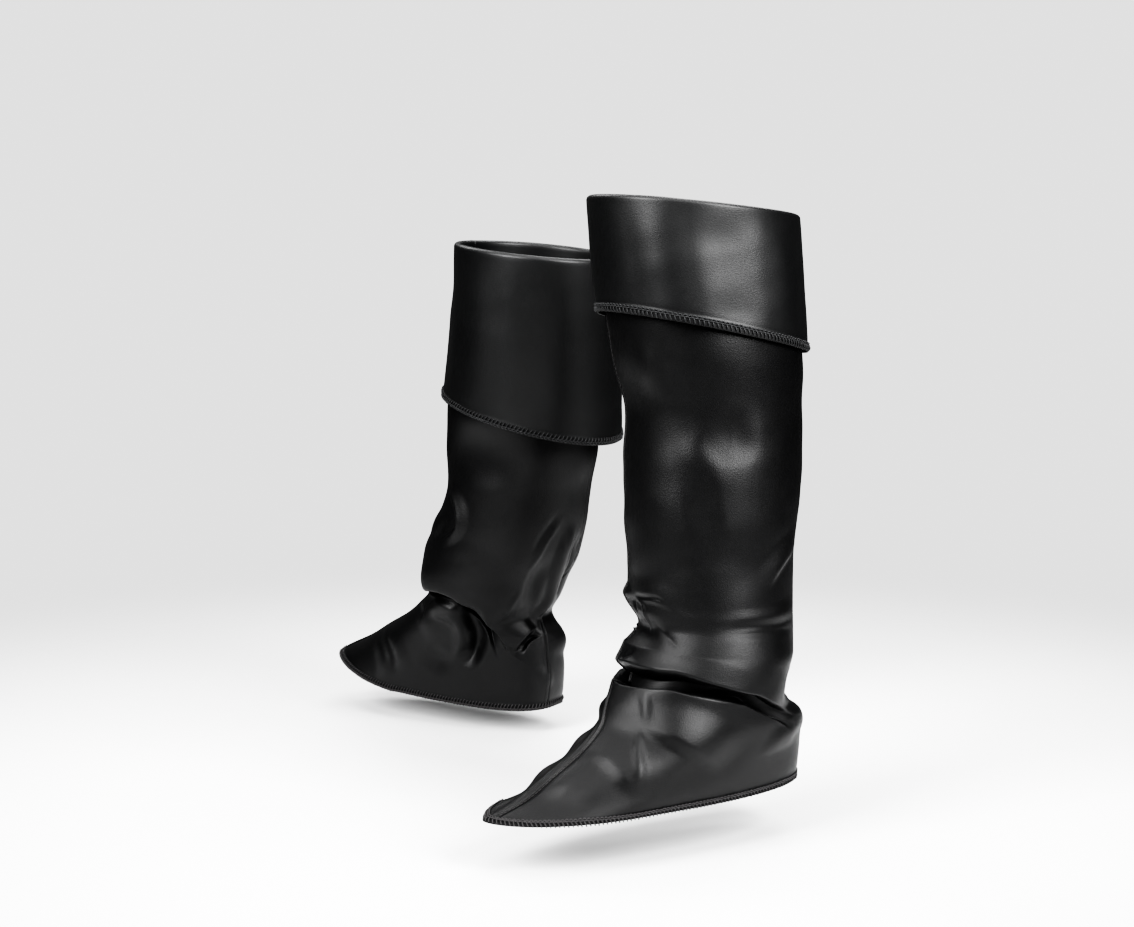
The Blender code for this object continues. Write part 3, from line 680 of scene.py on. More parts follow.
def folded(places: Array, folds: Sequence[Fold]) -> Array:
    """The tube with its folds.

    Args:
        places: Places on the smooth form, as from grid.
        folds: The folds to lay in.

    Returns:
        The points, moved out of the cloth and, under a lap, down.
    """
    grid, turns = places[:, :, :3], places[:, :, 3]
    normal = normals_of(grid)
    heights = grid[:, :, 2] / MM
    girth = np.linalg.norm(np.diff(grid, axis=1), axis=2).sum(axis=1) / MM
    per_degree = np.broadcast_to(girth[:, None] / 360, heights.shape)
    out, up = np.zeros(heights.shape), np.zeros(heights.shape)
    for fold in folds:
        near = near_fold(fold, turns, heights, per_degree)
        signed, share = path_distance(fold, turns[near], heights[near], per_degree[near])
        fold_out, fold_up = fold_moves(fold, signed, share)
        out[near] += fold_out
        up[near] += fold_up
    moved = grid + normal * (out * MM)[:, :, None]
    moved[:, :, 2] += up * MM
    return moved


def drape_noise(grid: Array, turns: Array, seed: int, height: float) -> Array:
    """A slow, soft unevenness of worn cloth.

    Args:
        grid: Points of the cloth.
        turns: The turn of each column, in degrees.
        seed: Seed of the waves.
        height: Their height in metres.

    Returns:
        The height of the cloth at each point, in metres.
    """
    rng = np.random.default_rng(seed)
    angle = np.radians(turns)[None, :]
    z = grid[:, :, 2]
    total = np.zeros(z.shape)
    for _ in range(DRAPE_WAVES):
        around = rng.integers(*DRAPE_ROUND)
        along = rng.uniform(*DRAPE_RATE)
        phase = rng.uniform(0, 2 * math.pi, 2)
        bend = DRAPE_BEND * np.sin(along * z * DRAPE_BEND_RATE)
        total += np.sin(around * angle + phase[0] + bend) * np.sin(along * z + phase[1])
    return total / DRAPE_WAVES**0.5 * height


def packed(fine: Array, density: Array, count: int) -> Array:
    """Places spread by a density.

    Args:
        fine: Fine places from the first to the last.
        density: How densely the result lies at each of them.
        count: How many places to return.

    Returns:
        The places, with both ends kept.
    """
    total = np.concatenate([[0], np.cumsum((density[1:] + density[:-1]) / 2 * np.diff(fine))])
    return np.interp(np.linspace(0, total[-1], count), total, fine)


def linked(name: str, data: bpy.types.ID) -> bpy.types.Object:
    """A new object in the scene, with its mesh, light or camera."""
    made = bpy.data.objects.new(name, data)
    bpy.context.scene.collection.objects.link(made)
    return made


@dataclass
class ClothWall:
    """A closed wall of cloth between a seen face and a hidden one, with rounded edges."""

    name: str
    face: Array
    back: Array
    around: Array
    along: Array
    wear_and_shade: Array

    def edge_round(self, points: Array, inward: Array, back: Array) -> Array:
        """The middle line of an edge's rounding, between the two faces.

        Args:
            points: The seen face's edge.
            inward: The row or column beside it.
            back: The hidden face's edge.

        Returns:
            The points of the rounding.
        """
        outward = unit(points - inward)
        half = np.linalg.norm(points - back, axis=1, keepdims=True) / 2
        return (points + back) / 2 + outward * half * EDGE_ROUNDNESS

    def build(self, to_part: "Stance", mirrored: bool) -> bpy.types.Object:
        """Make the wall as a mesh object in the part's frame.

        Args:
            to_part: Where the cover stands.
            mirrored: Whether the placing turns faces inside out.

        Returns:
            The object, at the origin.
        """
        rows, columns = self.face.shape[:2]
        rim = self._rim(rows, columns)
        count = rows * columns
        edge_points = np.concatenate(
            [
                self.edge_round(self.face[0], self.face[1], self.back[0]),
                self.edge_round(self.face[:, -1], self.face[:, -2], self.back[:, -1])[1:],
                self.edge_round(self.face[-1], self.face[-2], self.back[-1])[::-1][1:],
                self.edge_round(self.face[:, 0], self.face[:, 1], self.back[:, 0])[::-1][1:-1],
            ]
        )
        points = np.concatenate([self.face.reshape(-1, 3), self.back.reshape(-1, 3), edge_points])
        cell = np.arange(count).reshape(rows, columns)
        a, b = cell[:-1, :-1].ravel(), cell[:-1, 1:].ravel()
        c, d = cell[1:, 1:].ravel(), cell[1:, :-1].ravel()
        seen = np.stack([a, b, c, d], axis=1)
        hidden = np.stack([a, d, c, b], axis=1) + count
        middle = 2 * count + np.arange(len(rim))
        after = np.roll(rim, -1)
        middle_after = np.roll(middle, -1)
        strip_one = np.stack([after, rim, middle, middle_after], axis=1)
        strip_two = np.stack([middle_after, middle, rim + count, after + count], axis=1)
        quads = np.concatenate([seen, hidden, strip_one, strip_two])
        if mirrored:
            quads = quads[:, ::-1]
        mesh = bpy.data.meshes.new(self.name)
        mesh.from_pydata(to_part.place(points).tolist(), [], quads.tolist())
        self._dress(mesh, rim, count)
        mesh.validate()
        mesh.update()
        mesh.shade_smooth()
        return linked(self.name, mesh)

    def _rim(self, rows: int, columns: int) -> Array:
        """The seen face's outer vertices, in order round the wall."""
        cell = np.arange(rows * columns).reshape(rows, columns)
        return np.concatenate([cell[0], cell[1:, -1], cell[-1, ::-1][1:], cell[::-1, 0][1:-1]])

    def _dress(self, mesh: bpy.types.Mesh, rim: Array, count: int) -> None:
        """Give the mesh its map in metres along the cloth, and its wear and the painted shade of its hem
        bands.
        """
        u = np.concatenate([self.around.ravel(), self.around.ravel(), self.around.ravel()[rim]])
        v = np.concatenate([self.along.ravel(), self.along.ravel(), self.along.ravel()[rim]])
        index = np.zeros(len(mesh.loops), dtype=np.int32)
        mesh.loops.foreach_get("vertex_index", index)
        layer = mesh.uv_layers.new(name="cloth")
        layer.data.foreach_set("uv", np.stack([u[index], v[index]], axis=1).ravel())
        worn_and_shaded = np.concatenate([self.wear_and_shade.ravel(), np.zeros(count), self.wear_and_shade.ravel()[rim]])
        mesh.attributes.new("wear_and_shade", "FLOAT", "POINT").data.foreach_set("value", worn_and_shaded.astype(np.float32))

    def area(self) -> float:
        """The area of the seen face, in square metres."""
        falling = self.face[1:, 1:] - self.face[:-1, :-1]
        rising = self.face[1:, :-1] - self.face[:-1, 1:]
        return float(np.linalg.norm(np.cross(falling, rising), axis=2).sum() / 2)


@dataclass(frozen=True)
class Stance:
    """Where one cover stands: the back of its heel, and how far its toe turns out."""

    heel: tuple[float, float]
    turn_out: float
    side: int
    ground: float

    def place(self, points: Array) -> Array:
        """Points of the cover's own frame, in the part's frame."""
        return np.array([*self.heel, self.ground]) + self.turn(points)

    def turn(self, vectors: Array) -> Array:
        """Directions of the cover's own frame, in the part's frame."""
        angle = math.radians(self.turn_out)
        forward = np.array([self.side * math.sin(angle), -math.cos(angle), 0.0])
        out = np.array([self.side * math.cos(angle), math.sin(angle), 0.0])
        up = np.array([0.0, 0.0, 1.0])
        return vectors[..., 0:1] * forward + vectors[..., 1:2] * out + vectors[..., 2:3] * up


class Graph:
    """A node tree under construction."""

    def __init__(self, tree: bpy.types.NodeTree) -> None:
        """Start on an empty tree."""
        self.tree = tree
        tree.nodes.clear()

    def add(self, kind: str, inputs: dict | None = None, **settings: object) -> bpy.types.Node:
        """Add a node.

        Args:
            kind: The node's type name.
            inputs: Values or links for its sockets, by name or number.
            settings: The node's own settings, which are set first.

        Returns:
            The node.
        """
        node = self.tree.nodes.new(kind)
        for key, value in settings.items():
            setattr(node, key, value)
        for key, value in (inputs or {}).items():
            socket = node.inputs[key]
            if isinstance(value, Flow):
                self.tree.links.new(value.socket, socket)
            elif isinstance(value, bpy.types.NodeSocket):
                self.tree.links.new(value, socket)
            else:
                socket.default_value = value
        return node

    def flow(
        self, kind: str, inputs: dict | None = None, output: str | int = 0, **settings: object
    ) -> "Flow":
        """Add a node and return one of its outputs, ready for sums."""
        return Flow(self, self.add(kind, inputs, **settings).outputs[output])

    def noise(self, place: bpy.types.NodeSocket, scale: float, detail: float = 2.0) -> "Flow":
        """Soft noise over places, from 0 to 1."""
        return self.flow("ShaderNodeTexNoise", {"Vector": place, "Scale": scale, "Detail": detail}, "Fac")


class Flow:
    """A socket that takes part in sums."""

    def __init__(self, graph: Graph, socket: bpy.types.NodeSocket) -> None:
        """Wrap a node's output socket."""
        self.graph = graph
        self.socket = socket

    def _math(self, operation: str, first: object, second: object) -> "Flow":
        """Add a Math node on two values."""
        return self.graph.flow("ShaderNodeMath", {0: first, 1: second}, operation=operation)

    def __add__(self, other: object) -> "Flow":
        """The sum."""
        return self._math("ADD", self, other)

    def __mul__(self, other: object) -> "Flow":
        """The product."""
        return self._math("MULTIPLY", self, other)

    def __sub__(self, other: object) -> "Flow":
        """The difference."""
        return self._math("SUBTRACT", self, other)


def new_material(name: str, colour: tuple[float, float, float]) -> tuple[bpy.types.Material, Graph]:
    """A material with its plain colour, and its empty node tree."""
    made = bpy.data.materials.new(name)
    made.use_nodes = True
    made.diffuse_color = (*colour, 1.0)
    return made, Graph(made.node_tree)


def finish_material(graph: Graph, values: dict) -> None:
    """End a node tree in one surface shader with these values."""
    shader = graph.add("ShaderNodeBsdfPrincipled", values)
    graph.add("ShaderNodeOutputMaterial", {"Surface": shader.outputs["BSDF"]})


@dataclass(frozen=True)
class CoatedCloth:
    """Stretch cloth with a smooth black coating."""

    name: str
    colour: tuple[float, float, float]
    worn_colour: tuple[float, float, float]
    roughness: float
    roughness_spread: float
    grain_scale: tuple[float, float]
    grain_depth: float
    specular: float
    mottle_scale: float = 22.0
    smudge_scale: float = 140.0
    fibre_scale: float = 2.3
    wear_and_shade_tint: float = 0.7
    mottle_tint: float = 0.35
    smudge_share: float = 0.6
    mean_shine: float = 0.8
    wear_polish: float = 0.05
    fibre_dullness: float = 0.03
    pebble_height: float = 0.6
    fibre_height: float = 0.5
    grain_strength: float = 0.55

    def material(self) -> bpy.types.Material:
        """Build the material."""
        made, graph = new_material(self.name, self.colour)
        cloth = graph.add("ShaderNodeUVMap", uv_map="cloth").outputs["UV"]
        place = graph.add("ShaderNodeTexCoord").outputs["Object"]
        wear_and_shade = graph.flow("ShaderNodeAttribute", output="Fac", attribute_name="wear_and_shade")
        mottle = graph.noise(place, self.mottle_scale, 3.0)
        smudge = graph.noise(place, self.smudge_scale, 4.0)
        grain_place = graph.add(
            "ShaderNodeMapping", {"Vector": cloth, "Scale": (*self.grain_scale, 1.0)}
        ).outputs["Vector"]
        pebble = graph.flow("ShaderNodeTexVoronoi", {"Vector": grain_place, "Scale": 1.0}, "Distance")
        fibre = graph.noise(grain_place, self.fibre_scale, 3.0)
        # Lighter on worn ridges and at random; on hem bands the value falls below 0 and the mix clamps to
        # the darkest colour, a painted shade
        tint = wear_and_shade * self.wear_and_shade_tint + mottle * self.mottle_tint
        tone = graph.add(
            "ShaderNodeMix",
            {0: tint, 6: (*self.colour, 1.0), 7: (*self.worn_colour, 1.0)},
            data_type="RGBA",
        ).outputs[2]
        shine = mottle * self.roughness_spread + smudge * (self.roughness_spread * self.smudge_share)
        base = self.roughness - self.mean_shine * self.roughness_spread
        rough = shine + base - wear_and_shade * self.wear_polish + fibre * self.fibre_dullness
        height = pebble * self.pebble_height + fibre * self.fibre_height
        relief = graph.flow(
            "ShaderNodeBump",
            {"Height": height, "Strength": self.grain_strength, "Distance": self.grain_depth},
            "Normal",
        )
        finish_material(
            graph,
            {
                "Base Color": tone,
                "Roughness": rough,
                "Specular IOR Level": self.specular,
                "Normal": relief,
            },
        )
        return made


@dataclass(frozen=True)
class Thread:
    """Spun thread of the overlocked edges."""

    name: str
    colour: tuple[float, float, float]
    roughness: float
    twist_scale: float = 2600.0
    slow_scale: float = 90.0
    slow_tint: float = 0.6
    twist_tint: float = 0.4
    pale_gain: float = 1.8
    pale_lift: float = 0.001
    twist_dullness: float = 0.2
    twist_depth: float = 0.0001
    twist_strength: float = 0.5
    specular: float = 0.4

    def material(self) -> bpy.types.Material:
        """Build the material."""
        made, graph = new_material(self.name, self.colour)
        place = graph.add("ShaderNodeTexCoord").outputs["Object"]
        twist = graph.noise(place, self.twist_scale)
        slow = graph.noise(place, self.slow_scale)
        pale = tuple(min(1.0, self.pale_gain * part + self.pale_lift) for part in self.colour)
        tint = slow * self.slow_tint + twist * self.twist_tint
        tone = graph.add(
            "ShaderNodeMix", {0: tint, 6: (*self.colour, 1.0), 7: (*pale, 1.0)}, data_type="RGBA"
        ).outputs[2]
        relief = graph.flow(
            "ShaderNodeBump",
            {"Height": twist, "Strength": self.twist_strength, "Distance": self.twist_depth},
            "Normal",
        )
        finish_material(
            graph,
            {
                "Base Color": tone,
                "Roughness": twist * self.twist_dullness + self.roughness,
                "Specular IOR Level": self.specular,
                "Normal": relief,
            },
        )
        return made


class StitchKind(Enum):
    """The kinds of machine stitch on the covers."""

    OVERLOCK = "overlock"
    RUNNING = "running"


@dataclass(frozen=True)
class StitchRun:
    """One run of machine stitches along a path on the cloth, in metres."""

    name: str
    kind: StitchKind
    pitch: float
    width: float
    thread: float
    lift: float
    lean: float
    seed: int

    def build(
        self, path: Array, facing: Array, closed: bool, thread: bpy.types.Material
    ) -> bpy.types.Object:
        """Lay the stitches.

        Args:
            path: Points of the run, in the part's frame.
            facing: The way the cloth faces at each point.
            closed: Whether the run ends where it starts.
            thread: The thread's material.

        Returns:
            A mesh object at the origin.
        """
        mesh = bpy.data.meshes.new(self.name + "_path")
        edges = [(i, i + 1) for i in range(len(path) - 1)]
        if closed:
            edges.append((len(path) - 1, 0))
        mesh.from_pydata(path.tolist(), edges, [])
        mesh.attributes.new("facing", "FLOAT_VECTOR", "POINT").data.foreach_set(
            "vector", facing.astype(np.float32).ravel()
        )
        guide = linked(self.name + "_path", mesh)
        tree, sockets = self._tree()
        layer = guide.modifiers.new("stitches", "NODES")
        layer.node_group = tree
        values = {
            "Pitch": self.pitch,
            "Width": self.width,
            "Thread": self.thread,
            "Lift": self.lift,
            "Lean": self.lean,
            "Material": thread,
        }
        for name, value in values.items():
            layer[sockets[name]] = value
        graph = bpy.context.evaluated_depsgraph_get()
        made = bpy.data.meshes.new_from_object(guide.evaluated_get(graph), depsgraph=graph)
        made.name = self.name
        made.shade_smooth()
        stitches = linked(self.name, made)
        guide.modifiers.remove(layer)
        bpy.data.objects.remove(guide, do_unlink=True)
        bpy.data.node_groups.remove(tree)
        return stitches

    def _tree(self) -> tuple[bpy.types.NodeTree, dict[str, str]]:
        """Build the node tree, with a named input for each size.

        Returns:
            The tree, and each input's identifier by its name.
        """
        tree = bpy.data.node_groups.new(self.name, "GeometryNodeTree")
        face = tree.interface
        face.new_socket("Path", in_out="INPUT", socket_type="NodeSocketGeometry")
        names = ["Pitch", "Width", "Thread", "Lift", "Lean"]
        sockets = {
            name: face.new_socket(name, in_out="INPUT", socket_type="NodeSocketFloat").identifier
            for name in names
        }
        sockets["Material"] = face.new_socket(
            "Material", in_out="INPUT", socket_type="NodeSocketMaterial"
        ).identifier
        face.new_socket("Stitches", in_out="OUTPUT", socket_type="NodeSocketGeometry")
        graph = Graph(tree)
        given = graph.add("NodeGroupInput")
        size = {name: Flow(graph, given.outputs[name]) for name in names}
        curve = graph.add("GeometryNodeMeshToCurve", {"Mesh": given.outputs["Path"]}).outputs[0]
        spaced = graph.add(
            "GeometryNodeResampleCurve", {"Curve": curve, "Length": size["Pitch"]}, mode="LENGTH"
        )
        points = graph.add("GeometryNodeCurveToPoints", {"Curve": spaced.outputs[0]}, mode="EVALUATED")
        facing = graph.add(
            "GeometryNodeInputNamedAttribute", {"Name": "facing"}, data_type="FLOAT_VECTOR"
        )
        turned = graph.add(
            "FunctionNodeAxesToRotation",
            {0: facing.outputs["Attribute"], 1: points.outputs["Tangent"]},
            primary_axis="Z",
            secondary_axis="X",
        ).outputs[0]
        wander = graph.flow(
            "FunctionNodeRandomValue",
            {2: -STITCH_WANDER, 3: STITCH_WANDER, "Seed": self.seed},
            output=1,
            data_type="FLOAT",
        )
        lean = graph.add("ShaderNodeCombineXYZ", {"Z": wander}).outputs[0]
        lean_turn = graph.add("FunctionNodeEulerToRotation", {0: lean}).outputs[0]
        turned = graph.add(
            "FunctionNodeRotateRotation", {0: turned, 1: lean_turn}, rotation_space="LOCAL"
        ).outputs[0]
        swell = graph.add(
            "FunctionNodeRandomValue",
            {0: STITCH_LEAST, 1: STITCH_MOST, "Seed": self.seed + 1},
            data_type="FLOAT_VECTOR",
        ).outputs[0]
        laid = graph.add(
            "GeometryNodeInstanceOnPoints",
            {
                "Points": points.outputs["Points"],
                "Instance": self._stitch(graph, size),
                "Rotation": turned,
                "Scale": swell,
            },
        ).outputs[0]
        solid = graph.add("GeometryNodeRealizeInstances", {0: laid}).outputs[0]
        dressed = graph.add(
            "GeometryNodeSetMaterial", {"Geometry": solid, "Material": given.outputs["Material"]}
        ).outputs[0]
        graph.add("NodeGroupOutput", {0: dressed})
        return tree, sockets

    def _stitch(self, graph: Graph, size: dict[str, Flow]) -> bpy.types.NodeSocket:
        """One stitch, with its length along X, its width along Y and its height along Z."""
        profile = graph.add(
            "GeometryNodeCurvePrimitiveCircle",
            {"Resolution": THREAD_SIDES, "Radius": size["Thread"]},
            mode="RADIUS",
        ).outputs[0]
        half, reach, lift = size["Width"] * 0.5, size["Pitch"] * 0.5, size["Lift"]
        sunk = lift * -0.6
        if self.kind is StitchKind.RUNNING:
            span = reach * 0.72
            ways = [
                (
                    (span * -1.0, 0.0, sunk),
                    (span * -0.5, 0.0, lift),
                    (span * 0.5, 0.0, lift),
                    (span, 0.0, sunk),
                )
            ]
        else:
            slant = half * size["Lean"]
            ways = [
                (
                    (slant, half * -1.0, sunk),
                    (slant * 0.5, half * -0.7, lift * 1.5),
                    (slant * -0.1, half * 0.05, lift * 1.5),
                    (slant * -0.4, half * 0.4, sunk),
                ),
                (
                    (reach * -1.0, half * 0.4, sunk),
                    (reach * -0.6, half * 1.2, lift),
                    (reach * 0.6, half * 1.2, lift),
                    (reach, half * 0.4, sunk),
                ),
                (
                    (reach * -0.95, half * 0.42, 0.0),
                    (reach * -0.4, half * 0.36, lift * 0.8),
                    (reach * 0.4, half * 0.36, lift * 0.8),
                    (reach * 0.95, half * 0.42, 0.0),
                ),
            ]
        tubes = []
        for way in ways:
            ends = [
                graph.add("ShaderNodeCombineXYZ", {"X": x, "Y": y, "Z": z}).outputs[0] for x, y, z in way
            ]
            names = ("Start", "Start Handle", "End Handle", "End")
            arc = graph.add(
                "GeometryNodeCurvePrimitiveBezierSegment",
                {"Resolution": THREAD_STEPS, **dict(zip(names, ends))},
                mode="POSITION",
            ).outputs[0]
            tubes.append(
                graph.add(
                    "GeometryNodeCurveToMesh", {"Curve": arc, "Profile Curve": profile, "Fill Caps": True}
                ).outputs[0]
            )
        if len(tubes) == 1:
            return tubes[0]
        joined = graph.add("GeometryNodeJoinGeometry")
        for tube in tubes:
            graph.tree.links.new(tube, joined.inputs[0])
        return joined.outputs[0]


@dataclass(frozen=True)
class Finishes:
    """The materials of a cover."""

    shaft: bpy.types.Material
    cuff: bpy.types.Material
    hem_thread: bpy.types.Material
    cuff_thread: bpy.types.Material


@dataclass(frozen=True)
class MeshDensity:
    """How closely a cover's rows and columns lie: counts, places in degrees or metres, and gains."""

    rows: int = 236
    columns: int = 181
    cuff_rows: int = 54
    cuff_columns: int = 97
    tuck_rows: int = 7
    turn_steps: int = 13
    seam_zone: float = 5
    seam_blend: float = 2
    front_gain: float = 4
    back_gain: float = 2
    ankle_at: float = 0.115
    ankle_spread: float = 0.05
    ankle_gain: float = 2.4
    hem_zone: float = 0.009
    hem_blend: float = 0.003
    hem_gain: float = 2.2
    cuff_hem_gain: float = 2.0
    fine_turns: int = 721
    fine_rows: int = 900
    fine_cuff_rows: int = 400

    def turns(self, count: int) -> Array:
        """Places round the cover, closer together beside the seams."""
        fine = np.linspace(0, 180, self.fine_turns)
        front = smooth_step((self.seam_zone - fine) / self.seam_blend)
        back = smooth_step((fine - (180 - self.seam_zone)) / self.seam_blend)
        half = packed(fine, 1 + self.front_gain * front + self.back_gain * back, count)
        return np.concatenate([-half[::-1], half[1:]])

    def shaft_rows(self, length: float) -> Array:
        """Distances along the shaft, closer together at the hem and the ankle."""
        fine = np.linspace(0, length, self.fine_rows)
        ankle = np.exp(-(((fine - self.ankle_at) / self.ankle_spread) ** 2))
        hem = smooth_step((self.hem_zone - fine) / self.hem_blend)
        return packed(fine, 1 + self.ankle_gain * ankle + self.hem_gain * hem, self.rows)

    def cuff_fall(self, length: float) -> Array:
        """Distances down the cuff's outside, closer together at its hem."""
        fine = np.linspace(0, length, self.fine_cuff_rows)
        hem = smooth_step((fine - length + self.hem_zone) / self.hem_blend)
        return packed(fine, 1 + self.cuff_hem_gain * hem, self.cuff_rows)


@dataclass(frozen=True)
class HemStyle:
    """An overlocked edge: its band and the pinch beside it, in mm, and its stitches, in metres."""

    width: float = 5.6
    height: float = 0.2
    ease: float = 0.4
    blend: float = 0.8
    pinch_at: float = 1.1
    pinch_width: float = 1.2
    stitch_share: float = 0.84
    thread: float = 0.00045
    lift: float = 0.0008
    lean: float = 0.5
    seed: int = 5

    def band(self, from_hem: Array, pinch: float) -> Array:
        """The height in mm of the cloth beside a hem.

        Args:
            from_hem: Distance in mm from the hem.
            pinch: How deep the stitches pull the cloth in, in mm.

        Returns:
            Height in mm above the cloth, for each distance.
        """
        band = self.height * smooth_step((self.width + self.ease - from_hem) / self.blend)
        return band - pinch * bump((from_hem - self.width - self.pinch_at) / self.pinch_width)


@dataclass(frozen=True)
class WearAndShadeStyle:
    """Where the coating is polished or dulled, and where a hem band is painted darkest as shade, in mm but
    for the hem's dullness and shade, and its share.
    """

    starts: float = 0.12
    spreads: float = 0.9
    # Besides dulling the hem band, this paints shade: it holds the band's colour at the darkest
    hem_dullness_and_shade: float = 6
    hem_share: float = 0.97
    hem_blend: float = 0.4


@dataclass
class Cover:
    """One boot cover, with its cloth, seams and stitches.

    Its lengths are in metres, apart from the two pinches and where the seams start and blend, in mm.
    """

    pattern: CoverPattern
    stance: Stance
    finishes: Finishes
    wall: float = 0.0013
    seam_gap: float = 0.0003
    cuff_tuck: float = 0.012
    ankle_reach: float = 0.05
    thread_rise: float = 0.0001
    shaft_pinch: float = 0.15
    cuff_pinch: float = 0.08
    seam_starts: float = 2
    seam_blend: float = 5
    density: MeshDensity = MeshDensity()
    hem: HemStyle = HemStyle()
    worn_and_shaded: WearAndShadeStyle = WearAndShadeStyle()
    front_seam: SeamStyle = SeamStyle(bead_height=0.55)
    back_seam: SeamStyle = SeamStyle(
        strip_from=-4.2, strip_to=-0.3, strip_height=0.25, groove_at=0.1, groove_width=1.3, groove_depth=0.7
    )
    pieces: list[bpy.types.Object] = field(default_factory=list)

    def seams(self, face: Array, front: SeamStyle, back: SeamStyle) -> Array:
        """The height in metres of the front and back seams over a closed grid."""
        run = girth_along(face) / MM
        outer_end, inner_end = run[:, -1:], run[:, :1]
        to_back = np.where(run >= 0, outer_end - run, inner_end - run)
        return (front.relief(run) + back.relief(to_back)) * MM

    def wear_and_shade_of(self, face: Array, normal: Array, to_hem: Array) -> Array:
        """How far each point stands out as a ridge, from 0 to 1, or, below 0, how dull a hem leaves it and
        how far its colour is painted down to the darkest as shade.
        """
        closed = np.concatenate([face[:, -3:-1], face, face[:, 1:3]], axis=1)
        sides = (closed[:, :-4] + closed[:, 4:]) / 2 - face
        ends = np.zeros_like(face)
        ends[2:-2] = (face[:-4] + face[4:]) / 2 - face[2:-2]
        stand = -((sides + ends) * normal).sum(axis=2) / MM
        ridge = np.clip((stand - self.worn_and_shaded.starts) / self.worn_and_shaded.spreads, 0, 1)
        # Painted shade: the hem band under the stitches is made rougher, and its colour is held at the
        # darkest to stand in for the shade between the threads
        hem_shade_band = smooth_step((self.hem.width * self.worn_and_shaded.hem_share - to_hem / MM) / self.worn_and_shaded.hem_blend)
        return ridge - self.worn_and_shaded.hem_dullness_and_shade * hem_shade_band

    def halves(self, face: Array, back: Array) -> dict[str, tuple[slice, Array, Array]]:
        """The outer and inner halves of a closed wall, each drawn back from its seams."""
        middle = face.shape[1] // 2
        found = {}
        for name, part in (("inner", slice(0, middle + 1)), ("outer", slice(middle, None))):
            one, two = face[:, part].copy(), back[:, part].copy()
            for edge, beside in ((0, 1), (-1, -2)):
                aside = unit(one[:, beside] - one[:, edge])
                one[:, edge] += aside * self.seam_gap / 2
                two[:, edge] += aside * self.seam_gap / 2
            found[name] = (part, one, two)
        return found

    def shaft_face(self) -> tuple[Array, Array]:
        """The shaft's seen face: its points and their normals."""
        form = TubeForm(self.pattern.sections)
        turns = self.density.turns(self.density.columns)
        rows = self.density.shaft_rows(form.length - self.cuff_tuck - self.seam_gap)
        places = form.grid_along(self.pattern.ankle, rows, turns, self.ankle_reach)
        face = folded(places, [*self.pattern.folds, *self.pattern.fine_folds])
        normal = normals_of(face)
        climb = np.linalg.norm(np.diff(face, axis=0), axis=2)
        climb = np.concatenate([np.zeros((1, face.shape[1])), np.cumsum(climb, axis=0)]) / MM
        height = self.seams(face, self.front_seam, self.back_seam)
        height = height * smooth_step((climb - self.seam_starts) / self.seam_blend)
        slack = drape_noise(face, turns, SHAFT_SEED + self.pattern.side, SHAFT_DRAPE)
        height += self.hem.band(climb, self.shaft_pinch) * MM + slack
        face = face + normal * height[:, :, None]
        return face, normals_of(face)

    def build_shaft(self) -> None:
        """Make the outer and inner panels and the stitches of the foot's hem and the front seam."""
        face, normal = self.shaft_face()
        back = face - self.wall * normal
        around = girth_along(face)
        along = self.from_hem(face)[1]
        wear_and_shade = self.wear_and_shade_of(face, normal, along)
        for half, (part, one, two) in self.halves(face, back).items():
            name = f"{self.pattern.name}_{half}_panel"
            wall = ClothWall(name + "_cloth", one, two, around[:, part], along[:, part], wear_and_shade[:, part])
            self.add_cloth(wall, name, self.finishes.shaft)
        self.add_hem(
            "foot_hem", face, normal, along, self.finishes.hem_thread, FOOT_HEM_PITCH
        )
        self.add_seam_run("front_seam", face, normal, along, SEAM_RUN_OFFSET, SEAM_RUN_START)

    def add_cloth(
        self, wall: ClothWall, node: str, finish: bpy.types.Material
    ) -> None:
        """Build a wall of cloth, and say what it is.

        Args:
            wall: The wall.
            node: The CAD node that it replaces.
            finish: Its material.
        """
        cloth = wall.build(self.stance, self.pattern.side < 0)
        cloth.data.materials.append(finish)
        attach(cloth, "root")
        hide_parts(node)
        width = float(np.linalg.norm(np.diff(wall.face, axis=1), axis=2).sum(axis=1).max())
        length = float(np.linalg.norm(np.diff(wall.face, axis=0), axis=2).sum(axis=0).max())
        LOG.info("%s: %.3f x %.3f m, %.4f m2", node, width, length, wall.area())
        round(wall.area(), 4)
        self.pieces.append(cloth)

    def add_hem(
        self,
        name: str,
        face: Array,
        normal: Array,
        along: Array,
        thread: bpy.types.Material,
        pitch: float,
    ) -> None:
        """Overlock the hem, which is the grid's first row.

        Args:
            name: The run's name, without the cover's.
            face: The closed grid of the cloth, with the hem first.
            normal: Its normals.
            along: Distance from the hem at each point, in metres.
            thread: The thread's material.
            pitch: The distance from stitch to stitch, in metres.
        """
        middle = self.hem.width * MM * 0.5
        columns = range(face.shape[1] - 1)
        path, facing = (
            np.array([[np.interp(middle, along[:, j], grid[:, j, k]) for k in range(3)] for j in columns])
            for grid in (face, normal)
        )
        run = StitchRun(
            name=f"{self.pattern.name}_{name}_stitches",
            kind=StitchKind.OVERLOCK,
            pitch=pitch,
            width=self.hem.width * MM * self.hem.stitch_share,
            thread=self.hem.thread,
            lift=self.hem.lift,
            lean=self.hem.lean * self.pattern.side,
            seed=self.hem.seed,
        )
        self.add_stitches(run, path, facing, True, thread)

